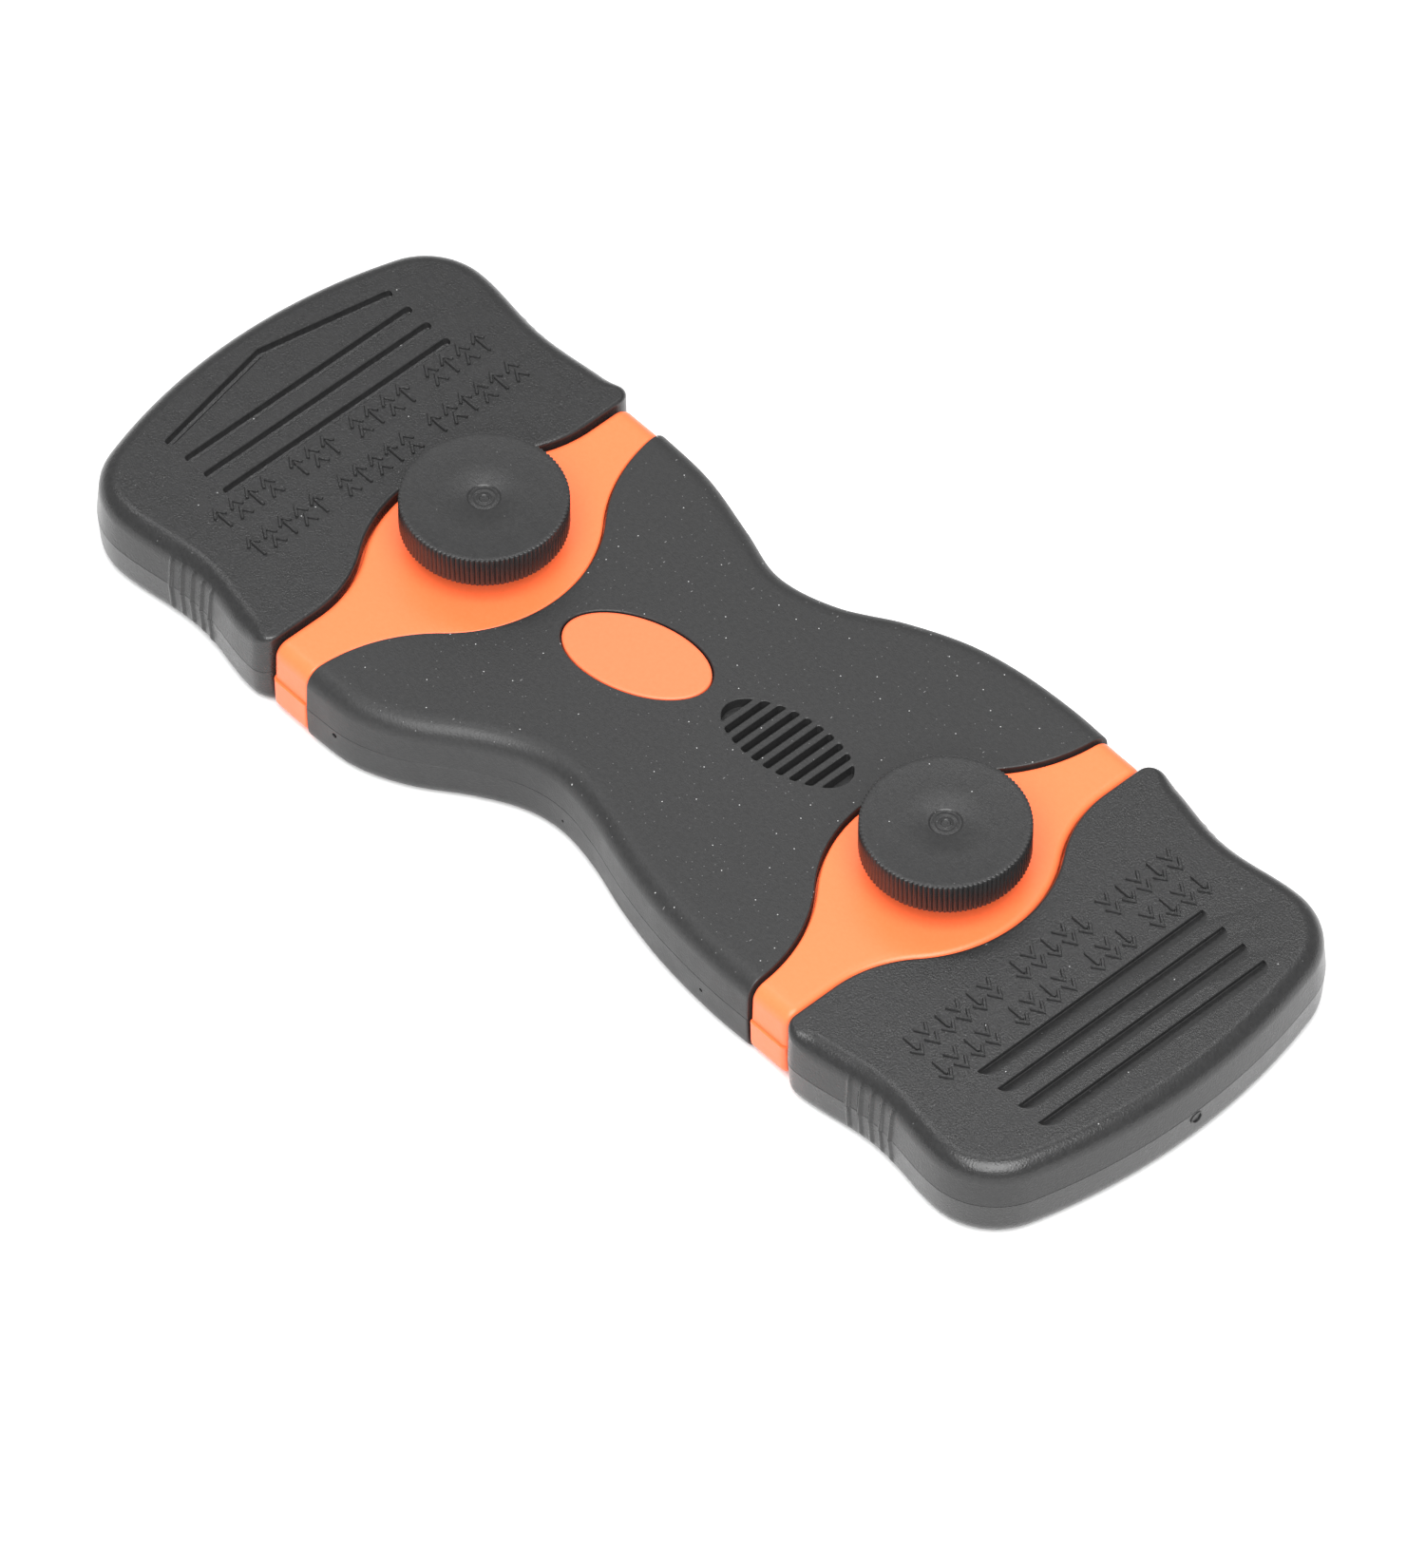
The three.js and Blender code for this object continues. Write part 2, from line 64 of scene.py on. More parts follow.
FAR_EDGE = [(-60, 26.7), (-46, 26.8), (-36, 26.7), (-28, 26.0), (-19, 23.7), (-10.5, 21.5),
            (-2, 23.5), (6, 28.2), (14, 31.7), (22, 33.4), (31, 34.0), (40, 33.8), (60, 33.6)]
NEAR_EDGE = [(-60, -35.1), (-46, -35.1), (-37, -35.1), (-30, -34.5), (-23, -31.5), (-16, -26.5),
             (-10, -23.3), (-4, -22.3), (3, -23.4), (11, -25.7), (20, -27.5), (30, -28.4),
             (40, -28.4), (60, -28.4)]

DECK_APEX = 13.3
DECK_ARC = 20.0
OUTER_LINE = 5.3
OUTER_BLEND = 18.0
INNER_LINE = 1.2
INNER_BLEND = 24.0
DECK_DROP = 0.6
UPPER_COLLAR_INSET = 0.45
LOWER_COLLAR_INSET = 0.12
GRIP_WALL = 1.8

CAP_GAP = 0.4
CAP_HALF = 31.8
CAP_WAIST = 30.5
CAP_WAIST_U = 21.5
CAP_INNER_WAVE = 13.5
CAP_CORNER = 10.5
CAP_INNER_CORNER = 2.6
CAP_WALL = 2.3
CAP_SKIN = 2.0

NOSE_HALF = 27.2
NOSE_BOTTOM = 2.6
NOSE_CORNER = 1.6
NOSE_ROUND = 0.5
BLADE_HALF = 24.2
BLADE_BOTTOM = 6.2
BLADE_THICK = 0.8
BLADE_TAIL = 7.5
BLADE_SLOT_HALF = 3.6
BLADE_BEVEL = 2.4
BLADE_EDGE = 0.05    # half thickness of the ground edge
BLADE_RETRACT = 5.0
CHANNEL_HALF = BLADE_HALF + GAP
CHANNEL_FLOOR = BLADE_BOTTOM - GAP
CHANNEL_ROOF = BLADE_BOTTOM + BLADE_THICK + GAP
PLATE = {"half_u": 9.0, "half_v": 13.0, "bottom": 4.6}
POCKET = {"half_x": 17.0, "half_y": 15.5, "rib_half": 1.2, "floor": 3.6, "corner": 2.0}
BOSS_R = 4.2

BOLT_R = 3.0
BOLT_TIP = 0.9
BOLT_THREAD = {"pitch": 1.0, "depth": 0.5}
NUT = {"flats": 10.0, "bottom": 1.2, "top": 4.1}
WASHER = {"r": 7.0, "bottom": 12.7, "top": 13.7}
HEAD = {"flats": 10.0, "bottom": 14.0, "top": 18.0}
KNOB_R = 11.0
KNOB_TOP = 21.4
KNOB_RIM = 5.1
KNOB_BOSS_R = 7.4

SCREWS = [(-21, -21.5), (-20, 15.5), (20, -19), (22, 24)]
SCREW = {"head_r": 2.7, "head_bottom": 2.4, "head_top": 4.2, "shank_r": 1.5, "tip": 10.2}
SCREW_THREAD = {"pitch": 0.9, "depth": 0.28}
BADGE = {"centre": (-12.35, -1.8), "half": (10.45, 6.0), "tilt": 18.5, "depth": 0.9}
VENT = {"centre": (11.35, 2.4), "half": (10.0, 4.9), "lean": 0.115, "slots": 10, "pitch": 1.95,
        "width": 1.04, "depth": 1.55, "corner": 0.28, "tip": 0.05}
GROOVE = {"half": 19.35, "pitch": 3.7, "y": 0.4, "rows": 4, "bend": 3.8, "first": {-1: 28.5, 1: 27.8},
          "noses": {-1: (0.7, 0.7), 1: (2.4, 1.1)}}

# ---- sizes of the surface detail ----
# Profiles and sections are lists of (radius or across, height); those of a surface feature take
# that surface as height 0.
FILLET_ANGLES = np.radians([0, 15, 30, 45, 60, 75, 90])
SEAM_ANGLES = np.radians([0, 22.5, 45, 67.5, 90])
PART_LINE = 0.06    # half height and depth of the chamfers along the parting line
GRIP_SEAM_R = 0.22
DECK_INNER_R = 0.35
DECK_OUTER_R = 0.85
CAP_SEAM_R = 0.45
MOUTH_EASE = 0.03    # how far a cap's mouth is cut past the space behind it, up and down
FILLET_RAMP = 7.0    # path length over which a cap's mouth edge grows to full fillet
LOWER_RAMP_LEAD = 3.5    # how much earlier that growth starts on the lower rim
CAP_STEPS = {"mouth": 61, "inner": 10, "side": 45, "corner": 20, "tip": 28}    # in half an outline
GRIP_STEPS = {"across": 64, "along": 90}
DECK_STEPS = {"across": 56, "along": 14}
ROUND_STEPS = 48
CORNER_STEPS = 5

PIPS = [(-33.1, 5.5, 0.42), (-3.9, 4.0, 0.26), (28.6, 4.5, 0.32)]    # small pits: x, z, radius
RIBS = {"count": 5, "pitch": 1.87, "width": 1.0, "height": 0.34, "middle": {-1: 21.9, 1: 20.8}}
KNURL = {"teeth": 104, "depth": 0.22, "steps": 6, "from_r": 10.5, "fade": 0.4}
EDGE_STEPS = 30
EDGE_ROUNDS = 5    # rounds in which a place on a moved edge settles
SURFACE_ROUNDS = 30    # rounds in which a point of a shell settles between seams and edges
THREAD_ROWS = 8    # rings of points in each turn of a thread
RELIEF = {"rows": (-16.5, -5.5, 5.5, 16.5), "half": 4.0, "from": 17.5, "margin": 3.0, "depth": 0.7,
          "corner": 1.2}    # shallow pockets of a nose
CROSS = {"half_long": 1.5, "half_wide": 0.36, "depth": 1.2, "dome": 0.75}    # a screw's head
KNOB_CROWN = [(KNOB_R, -1.2), (KNOB_R, -0.22), (10.94, -0.08), (10.8, -0.02), (10.55, 0.0),
              (10.2, -0.01), (8.6, -0.08), (6.0, -0.12), (2.3, -0.14), (2.15, -0.18), (2.02, -0.36),
              (1.7, -0.4), (1.55, -0.32), (1.4, -0.32), (1.25, -0.42), (1.0, -0.43), (0.88, -0.34),
              (0.68, -0.33), (0.55, -0.46), (0, -0.48)]
GATE = {"y": 0.6, "z": 5.2, "sunk": 0.06}
GATE_RING = [(0.7, -0.4), (1.0, -0.4), (0.98, 0.08), (0.9, 0.14), (0.8, 0.14), (0.72, 0.08)]
ROUND_GROOVE = [(-0.74, 1.0), (-0.74, 0.0), (-0.64, -0.1), (-0.58, -0.55), (-0.4, -0.92), (0.0, -1.04),
                (0.4, -0.92), (0.58, -0.55), (0.64, -0.1), (0.74, 0.0), (0.74, 1.0)]
RAMP_GROOVE = [(-0.07, 1.0), (-0.07, 0.0), (0.0, -0.07), (0.03, -0.56), (0.12, -0.64), (0.3, -0.57),
               (0.7, -0.36), (1.1, -0.18), (1.5, -0.06), (1.9, 0.0), (1.9, 1.0)]
MARK = {"long": 1.75, "half": 0.95, "span": (-22.0, 22.4), "group_gap": 0.8, "chevron": 1.5,
        "arrow_head": 1.3, "shaft_gap": 0.75, "nose": 0.15}
MARK_SECTION = [(-0.24, -0.4), (-0.22, 0.2), (-0.13, 0.32), (0.13, 0.32), (0.22, 0.2), (0.24, -0.4)]
MARK_ROWS = {-1: {18.7: (5, 5, 6), 25.2: (4, 3, 4, 4)},      # for each cap: u of a row, its groups
             1: {19.4: (6, 5, 5), 24.7: (4, 4, 3, 4)}}


# ---- curves ----
def unit(vectors):
    return vectors / np.linalg.norm(vectors, axis=-1, keepdims=True)


def smooth_edge(points, inward):
    """A long edge of the handle: dense points of the curve through the given ones, with unit
    normals that point into the handle."""
    points = np.array(points, float)
    last = len(points) - 1
    curve = []
    for i in range(last):
        start, end = points[i], points[i + 1]
        slope_a = (end - points[max(i - 1, 0)]) / 2
        slope_b = (points[min(i + 2, last)] - start) / 2
        for t in np.linspace(0, 1, EDGE_STEPS, endpoint=False):
            cubic = 2 * start - 2 * end + slope_a + slope_b
            square = 3 * end - 3 * start - 2 * slope_a - slope_b
            curve.append(((cubic * t + square) * t + slope_a) * t + start)
    curve.append(points[last])
    curve = np.array(curve)
    tangent = unit(np.gradient(curve, axis=0))
    normal = np.stack([-tangent[:, 1], tangent[:, 0]], axis=1) * inward
    return {"x": curve[:, 0], "y": curve[:, 1], "nx": normal[:, 0], "ny": normal[:, 1]}


FAR = smooth_edge(FAR_EDGE, -1)
NEAR = smooth_edge(NEAR_EDGE, 1)


def edge_y(edge, x, inset):
    """Where a long edge, moved into the handle by inset, lies at each x."""
    at = x
    for _ in range(EDGE_ROUNDS):
        at = x - np.interp(at, edge["x"], edge["nx"]) * inset
    return np.interp(at, edge["x"], edge["y"]) + np.interp(at, edge["x"], edge["ny"]) * inset


def seam_u(v, line_u, blend, grow):
    """A deck edge: a wide arc over the knob, eased into the straight collar, moved out by grow."""
    arc_u = DECK_APEX - DECK_ARC
    blend_u = line_u + blend
    blend_v = math.sqrt((DECK_ARC + blend) ** 2 - (blend_u - arc_u) ** 2)
    v = np.abs(v)
    touch = blend_v * (DECK_ARC + grow) / (DECK_ARC + blend)
    on_arc = arc_u + np.sqrt(np.maximum((DECK_ARC + grow) ** 2 - v ** 2, 0))
    on_blend = blend_u - np.sqrt(np.maximum((blend - grow) ** 2 - (blend_v - v) ** 2, 0))
    return np.where(v < touch, on_arc, np.where(v < blend_v, on_blend, line_u + grow))


def inner_seam(end, gap, turn):
    """The seam between a deck and the grips, as x for each y and each inset."""
    def x_at(y, inset):
        u = seam_u(y - end["deck"][1], INNER_LINE, INNER_BLEND, gap + turn * inset)
        return end["deck"][0] - end["out"] * u
    return x_at


def outer_seam(end):
    """The edge of a deck under its cap's mouth, as x for each y and each inset."""
    def x_at(y, inset):
        u = seam_u(y - end["deck"][1], OUTER_LINE, OUTER_BLEND, -inset)
        return end["deck"][0] + end["out"] * u
    return x_at


def placed(end, points, y):
    """Plan points of one end, given along its outward direction u and across it v."""
    points = np.asarray(points, float)
    return np.stack([end["deck"][0] + end["out"] * points[:, 0], y + points[:, 1]], axis=1)


def arc(centre, radius, start, stop, steps):
    angle = np.linspace(start, stop, steps + 1)
    return np.stack([centre[0] + radius * np.cos(angle), centre[1] + radius * np.sin(angle)], axis=1)


def ellipse(centre, half, tilt, grow, steps):
    ring = arc((0, 0), 1, 0, 2 * math.pi, steps)[:-1] * (half[0] + grow, half[1] + grow)
    turn = math.radians(tilt)
    across = np.array([[math.cos(turn), math.sin(turn)], [-math.sin(turn), math.cos(turn)]])
    return ring @ across + centre


def inwards(ring):
    """For each corner of a closed outline, the move that takes both its sides in by one unit. A
    move is never longer than two units."""
    following = np.roll(ring, -1, axis=0)
    before = unit(ring - np.roll(ring, 1, axis=0))
    after = unit(following - ring)
    side = np.sign(np.sum(ring[:, 0] * following[:, 1] - following[:, 0] * ring[:, 1]))
    mitre = unit(np.stack([-(before + after)[:, 1], (before + after)[:, 0]], axis=1) * side)
    spread = side * (mitre[:, 1] * before[:, 0] - mitre[:, 0] * before[:, 1])
    return mitre / np.maximum(0.5, spread)[:, None]


def at_height(plan, z):
    """Plan points with their height added."""
    return np.column_stack([plan, np.broadcast_to(z, len(plan))])


# ---- meshes ----
def mesh_object(name, points, faces):
    """A new object from points in millimetres, with double points merged and faces turned out."""
    mesh = bpy.data.meshes.new(name)
    mesh.from_pydata((np.asarray(points) * MM).tolist(), [], faces)
    work = bmesh.new()
    work.from_mesh(mesh)
    bmesh.ops.remove_doubles(work, verts=work.verts, dist=1e-4 * MM)
    bmesh.ops.recalc_face_normals(work, faces=work.faces)
    work.to_mesh(mesh)
    work.free()
    piece = bpy.data.objects.new(name, mesh)
    bpy.context.scene.collection.objects.link(piece)
    return piece


def bake(piece):
    """Turns a piece's modifiers into its mesh."""
    bpy.context.view_layer.update()
    graph = bpy.context.evaluated_depsgraph_get()
    mesh = bpy.data.meshes.new_from_object(piece.evaluated_get(graph))
    piece.modifiers.clear()
    piece.data = mesh
    mesh.name = piece.name


def combine(piece, operation, others):
    """Cuts the others out of a piece, or joins them to it, and deletes them."""
    for other in others:
        step = piece.modifiers.new(operation, "BOOLEAN")
        step.operation = operation
        step.object = other
        step.solver = "MANIFOLD"
    bake(piece)
    for other in others:
        bpy.data.objects.remove(other)
    return piece


def cut(piece, *others):
    return combine(piece, "DIFFERENCE", others)


def join(piece, *others):
    return combine(piece, "UNION", others)


def shade(piece, sharp=35.0):
    """Smooth shading with sharp edges kept, weighted so that flat faces stay flat."""
    limit = math.radians(sharp)
    work = bmesh.new()
    work.from_mesh(piece.data)
    for face in work.faces:
        face.smooth = True
    for edge in work.edges:
        edge.smooth = len(edge.link_faces) == 2 and edge.calc_face_angle() < limit
    work.to_mesh(piece.data)
    work.free()
    weigh = piece.modifiers.new("weigh", "WEIGHTED_NORMAL")
    weigh.keep_sharp = True
    bake(piece)
    return piece


def loft(name, rings):
    """A closed body through rings of equally many points, with the first and last ring filled."""
    count = len(rings[0])
    faces = [tuple(range(count))]
    for k in range(len(rings) - 1):
        for i in range(count):
            j = (i + 1) % count
            faces.append((k * count + i, k * count + j, (k + 1) * count + j, (k + 1) * count + i))
    top = (len(rings) - 1) * count
    faces.append(tuple(top + i for i in range(count)))
    return mesh_object(name, np.concatenate(rings), faces)


def prism(name, plan, z0, z1):
    return loft(name, [at_height(plan, z0), at_height(plan, z1)])


def rounded_prism(name, plan, z0, z1, radius):
    """A plate with both its rims rounded over."""
    inner = inwards(plan)
    rings = []
    for rim, way, angles in ((z0, 1, FILLET_ANGLES[::-2]), (z1, -1, FILLET_ANGLES[::2])):
        for angle in angles:
            move = radius * (1 - math.cos(angle))
            rings.append(at_height(plan + inner * move, rim + way * radius * (1 - math.sin(angle))))
    return loft(name, rings)


def box_plan(x0, x1, y0, y1, corner=0.0):
    """A rectangle in plan, with round corners if corner is given."""
    x0, x1 = min(x0, x1), max(x0, x1)
    if not corner:
        return np.array([(x0, y0), (x1, y0), (x1, y1), (x0, y1)], float)
    centres = [(x1 - corner, y1 - corner), (x0 + corner, y1 - corner),
               (x0 + corner, y0 + corner), (x1 - corner, y0 + corner)]
    quarter = math.pi / 2
    return np.concatenate([arc(c, corner, k * quarter, (k + 1) * quarter, CORNER_STEPS)
                           for k, c in enumerate(centres)])


def revolve(name, profile, centre, steps=ROUND_STEPS, ripple=None):
    """A turned body. A profile that starts and ends on the axis is solid, any other closes on
    itself. ripple says how far each point moves in, from its radius and angle."""
    angle = np.linspace(0, 2 * math.pi, steps, endpoint=False)
    radius = np.array([r for r, _ in profile])[:, None] * np.ones(steps)
    height = np.array([z for _, z in profile])[:, None] * np.ones(steps)
    if ripple is not None:
        radius = radius - ripple(radius, angle[None, :])
    points = np.stack([centre[0] + radius * np.cos(angle), centre[1] + radius * np.sin(angle), height],
                      axis=-1).reshape(-1, 3)
    solid = profile[0][0] == 0 and profile[-1][0] == 0
    rows = len(profile)
    faces = []
    for k in range(rows - 1 if solid else rows):
        for i in range(steps):
            a, b = k * steps + i, k * steps + (i + 1) % steps
            c, d = (k + 1) % rows * steps + (i + 1) % steps, (k + 1) % rows * steps + i
            faces.append((a, b, c, d))
    return mesh_object(name, points, faces)


def rod(name, centre, radius, z0, z1, steps=40):
    return revolve(name, [(0, z0), (radius, z0), (radius, z1), (0, z1)], centre, steps)


def hexagon(centre, flats):
    return arc(centre, flats / math.sqrt(3), 0, 2 * math.pi, 6)[:-1]


def sweep(name, path, section, first_nose, last_nose):
    """A bar along a plan path on the top face. The section's across is to the right of the path;
    both ends narrow to round noses of the given lengths about the line of the path."""
    section = np.array(section) + (0, THICKNESS)
    first, final = unit(path[1] - path[0]), unit(path[-1] - path[-2])
    nose = [(t, math.sqrt(1 - (1 - t) ** 2)) for t in (0.01, 0.06, 0.2, 0.5, 1.0)]
    stations = [(path[0] + first * first_nose * t, scale) for t, scale in nose]
    stations += [(point, 1.0) for point in path[1:-1]]
    stations += [(path[-1] - final * last_nose * t, scale) for t, scale in reversed(nose)]
    centres = np.array([point for point, _ in stations])
    rings = []
    for k, (point, scale) in enumerate(stations):
        before = unit(centres[k] - centres[k - 1]) if k else first
        after = unit(centres[k + 1] - centres[k]) if k + 1 < len(stations) else final
        mitre = np.array([(before + after)[1], -(before + after)[0]])
        mitre /= mitre @ np.array([before[1], -before[0]])
        rings.append(np.column_stack([point + np.outer(section[:, 0] * scale, mitre), section[:, 1]]))
    return loft(name, rings)


# ---- handle shells and decks ----
def handle_rows(inset, fillet, top, across):
    """The cross-section of one half, near side first: how far each row lies in from the outline,
    its height, its tilt, and its share of the way from the near to the far edge."""
    rows = [(inset + PART_LINE, MID, 0.0), (inset, MID + PART_LINE, 0.0)]
    for angle in FILLET_ANGLES:
        rows.append((inset + GRIP_DRAFT + fillet * (1 - math.cos(angle)),
                     top - fillet * (1 - math.sin(angle)), angle))
    near = [(*row, 0.0) for row in rows]
    far = [(*row, 1.0) for row in reversed(rows)]
    middle = [(inset + GRIP_DRAFT + fillet, top, math.pi / 2, share)
              for share in np.linspace(0, 1, across + 1)[1:-1]]
    return np.array(near + middle + far)


def seam_columns(first_radius, last_radius, count):
    """Columns from one seam to the other: share of the way, inset from the seam, and how far the
    section shrinks there to round the seam's edge."""
    low, high = ([(share, radius * (1 - math.cos(a)), radius * (1 - math.sin(a))) for a in SEAM_ANGLES]
                 for share, radius in ((0.0, first_radius), (1.0, last_radius)))
    middle = [(share, first_radius + (last_radius - first_radius) * share, 0.0)
              for share in np.linspace(0, 1, count + 1)[1:-1]]
    return np.array(low + middle + high[::-1])


def half_shell(name, seams, rows, columns, upper, wall=None):
    """One half of the handle between two seams, as a shell of the given wall or as a solid."""
    share, seam_inset, shrink = (columns[:, k][:, None] for k in range(3))
    inset, height, tilt, side = (rows[:, k][None, :] for k in range(4))

    def surface(shrunk, inset):
        y = np.zeros(np.broadcast_shapes(share.shape, inset.shape))
        move = inset + shrunk * np.cos(tilt)
        for _ in range(SURFACE_ROUNDS):
            x = (1 - share) * seams[0](y, seam_inset) + share * seams[1](y, seam_inset)
            y = (1 - side) * edge_y(NEAR, x, move) + side * edge_y(FAR, x, move)
        return np.stack([x, y, np.broadcast_to(height - shrunk * np.sin(tilt), x.shape)], axis=-1)

    outside = surface(shrink, inset)
    if wall is None:
        inside = surface(shrink, np.maximum(inset, rows[0, 0]))
        inside[..., 2] = MID
    else:
        inside = surface(np.full_like(shrink, wall), inset)
    wide, deep = outside.shape[:2]
    skin = np.arange(wide * deep).reshape(wide, deep)
    lining = skin + wide * deep
    faces = []
    for i in range(wide - 1):
        for j in range(deep - 1):
            faces.append((skin[i, j], skin[i + 1, j], skin[i + 1, j + 1], skin[i, j + 1]))
            faces.append((lining[i, j], lining[i, j + 1], lining[i + 1, j + 1], lining[i + 1, j]))
    for j in range(deep - 1):
        faces.append((skin[0, j], skin[0, j + 1], lining[0, j + 1], lining[0, j]))
        faces.append((skin[-1, j + 1], skin[-1, j], lining[-1, j], lining[-1, j + 1]))
    for i in range(wide - 1):
        faces.append((skin[i + 1, 0], skin[i, 0], lining[i, 0], lining[i + 1, 0]))
        faces.append((skin[i, -1], skin[i + 1, -1], lining[i + 1, -1], lining[i, -1]))
    points = np.concatenate([outside.reshape(-1, 3), inside.reshape(-1, 3)])
    if not upper:
        points[:, 2] = THICKNESS - points[:, 2]
    faces = [tuple(int(i) for i in face) for face in faces]
    return mesh_object(name, points, faces)


def grip_shell(name, upper):
    seams = [inner_seam(LEFT, GAP, 1), inner_seam(RIGHT, GAP, 1)]
    rows = handle_rows(0, EDGE_FILLET, THICKNESS, GRIP_STEPS["across"])
    columns = seam_columns(GRIP_SEAM_R, GRIP_SEAM_R, GRIP_STEPS["along"])
    return half_shell(name, seams, rows, columns, upper, GRIP_WALL)


def deck(end, upper):
    """The orange deck and collar half of one end."""
    seams = [outer_seam(end), inner_seam(end, 0, -1)]
    radii = [DECK_OUTER_R, DECK_INNER_R]
    if end["out"] > 0:
        seams.reverse()
        radii.reverse()
    inset = UPPER_COLLAR_INSET if upper else LOWER_COLLAR_INSET
    fillet, top = EDGE_FILLET - UPPER_COLLAR_INSET, THICKNESS - DECK_DROP
    rows = handle_rows(inset, fillet, top, DECK_STEPS["across"])
    return half_shell(f"{end['name']}_deck", seams, rows, seam_columns(*radii, DECK_STEPS["along"]), upper)


def vent_slot(index, grow, z):
    """One slot of the leaning oval vent: a strip of the oval with round corners, the first and last
    strip running out to the oval's tips."""
    half_x, half_y = VENT["half"][0] + grow, VENT["half"][1] + grow
    offset = (index - (VENT["slots"] - 1) / 2) * VENT["pitch"]
    low, high = (offset + way * (VENT["width"] / 2 + grow) for way in (-1, 1))
    if index == 0:
        low = VENT["tip"] - half_x
    if index == VENT["slots"] - 1:
        high = half_x - VENT["tip"]
    x = (low + high) / 2 - (high - low) / 2 * np.cos(np.linspace(0, math.pi, 13))
    corner = VENT["corner"] * (1 - np.clip(np.minimum(x - low, high - x) / VENT["corner"], 0, 1)) ** 2
    reach = np.maximum(half_y * np.sqrt(1 - (x / half_x) ** 2) - corner, 0.02)
    plan = np.concatenate([np.stack([x, -reach], axis=1), np.stack([x, reach], axis=1)[::-1]])
    plan[:, 1] += plan[:, 0] * VENT["lean"]
    return at_height(plan + VENT["centre"], z)


def vent_cutters():
    steps = [(0.08, 1), (0.08, 0.001), (0.0, -0.08), (-0.05, -VENT["depth"])]
    return [loft(f"slot_{i}", [vent_slot(i, grow, THICKNESS + z) for grow, z in steps])
            for i in range(VENT["slots"])]


def badge_loft(name, steps, points):
    """A body through the badge's oval, grown by each step's first number, at its second one."""
    return loft(name, [at_height(ellipse(BADGE["centre"], BADGE["half"], BADGE["tilt"], grow, points),
                                 THICKNESS + z) for grow, z in steps])


def make_badge():
    steps = [(0.0, -BADGE["depth"]), (0.0, -0.4), (-0.06, -0.19), (-0.2, -0.08), (-0.45, -0.05)]
    return shade(badge_loft("badge_inlay", steps, 128))


def make_upper_grip():
    grip = grip_shell("grip_upper_shell", True)
    steps = [(0.32, 1), (0.32, 0.001), (0.2, -0.12), (0.2, -BADGE["depth"] - GAP)]
    return shade(cut(grip, badge_loft("recess", steps, 96), *vent_cutters()))


def make_lower_grip():
    grip = grip_shell("grip_lower_shell", False)
    hole_r, lip_r = SCREW["head_r"] + GAP, SCREW["head_r"] + 0.55
    profile = [(0, -1), (lip_r, -1), (lip_r, 0), (hole_r, 0.3), (hole_r, 3), (0, 3)]
    holes = [revolve("hole", profile, at) for at in SCREWS]
    pips = []
    for x, z, radius in PIPS:
        side = edge_y(NEAR, np.array([x]), 0.0)[0]
        pip = revolve("pip", [(0, -0.5), (radius, -0.5), (radius - 0.06, 0.35), (0, 0.45)], (0, 0), 24)
        pip.data.transform(Matrix.Translation(Vector((x, side, z)) * MM)
                           @ Matrix.Rotation(-math.pi / 2, 4, "X"))
        pips.append(pip)
    return shade(cut(grip, *holes, *pips))


# ---- core ----
def end_plan(end, u0, u1, v0, v1, corner=0.0):
    """A rectangle of one end, from u0 to u1 outwards and from v0 to v1 across."""
    x0, x1 = (end["deck"][0] + end["out"] * u for u in (u0, u1))
    return box_plan(x0, x1, end["cap_y"] + v0, end["cap_y"] + v1, corner)


def nose(end, upper):
    """The tongue that the cap slides on, with rounded rims and a row of shallow relief pockets."""
    z0, z1 = (MID + GAP / 2, THICKNESS - NOSE_BOTTOM) if upper else (NOSE_BOTTOM, MID - GAP / 2)
    plan = end_plan(end, 0, end["nose_length"], -NOSE_HALF, NOSE_HALF, NOSE_CORNER)
    body = rounded_prism("nose", plan, z0, z1, NOSE_ROUND)
    outer = z1 if upper else z0
    pockets = []
    for v in RELIEF["rows"]:
        plan = end_plan(end, RELIEF["from"], end["nose_length"] - RELIEF["margin"], v - RELIEF["half"],
                        v + RELIEF["half"], RELIEF["corner"])
        pockets.append(prism("pocket", plan, outer - RELIEF["depth"], outer + RELIEF["depth"]))
    return cut(body, *pockets)


def centre_slab(z0, z1):
    """The middle of the core, hidden inside the grips."""
    x = np.linspace(LEFT["deck"][0] + 1, RIGHT["deck"][0] - 1, 60)
    near, far = (np.stack([x, edge_y(edge, x, GRIP_WALL + GAP)], axis=1) for edge in (NEAR, FAR))
    return prism("slab", np.concatenate([near, far[::-1]]), z0, z1)


def core_bays(z0, z1):
    """The two pockets in the middle of a core half, with round bosses left standing for the screws."""
    bays = []
    for side in (-1, 1):
        plan = box_plan(side * POCKET["rib_half"], side * POCKET["half_x"], -POCKET["half_y"],
                        POCKET["half_y"], POCKET["corner"])
        bay = prism("bay", plan, z0, z1)
        bosses = [rod("boss", at, BOSS_R, z0 - 1, z1 + 1, 32) for at in SCREWS]
        bays.append(cut(bay, *bosses))
    return bays


def core_body(name, upper, z0, z1):
    """One half of the core before it is cut: the slab, both decks and both noses."""
    body = join(centre_slab(z0, z1), *[deck(end, upper) for end in ENDS],
                *[nose(end, upper) for end in ENDS])
    body.name = name
    return body


def blade_channel(end, z0, z1):
    """The way of a blade, open past the nose."""
    plan = end_plan(end, -BLADE_TAIL - BLADE_RETRACT - GAP, end["nose_length"] + 20, -CHANNEL_HALF,
                    CHANNEL_HALF)
    return prism("channel", plan, z0, z1)


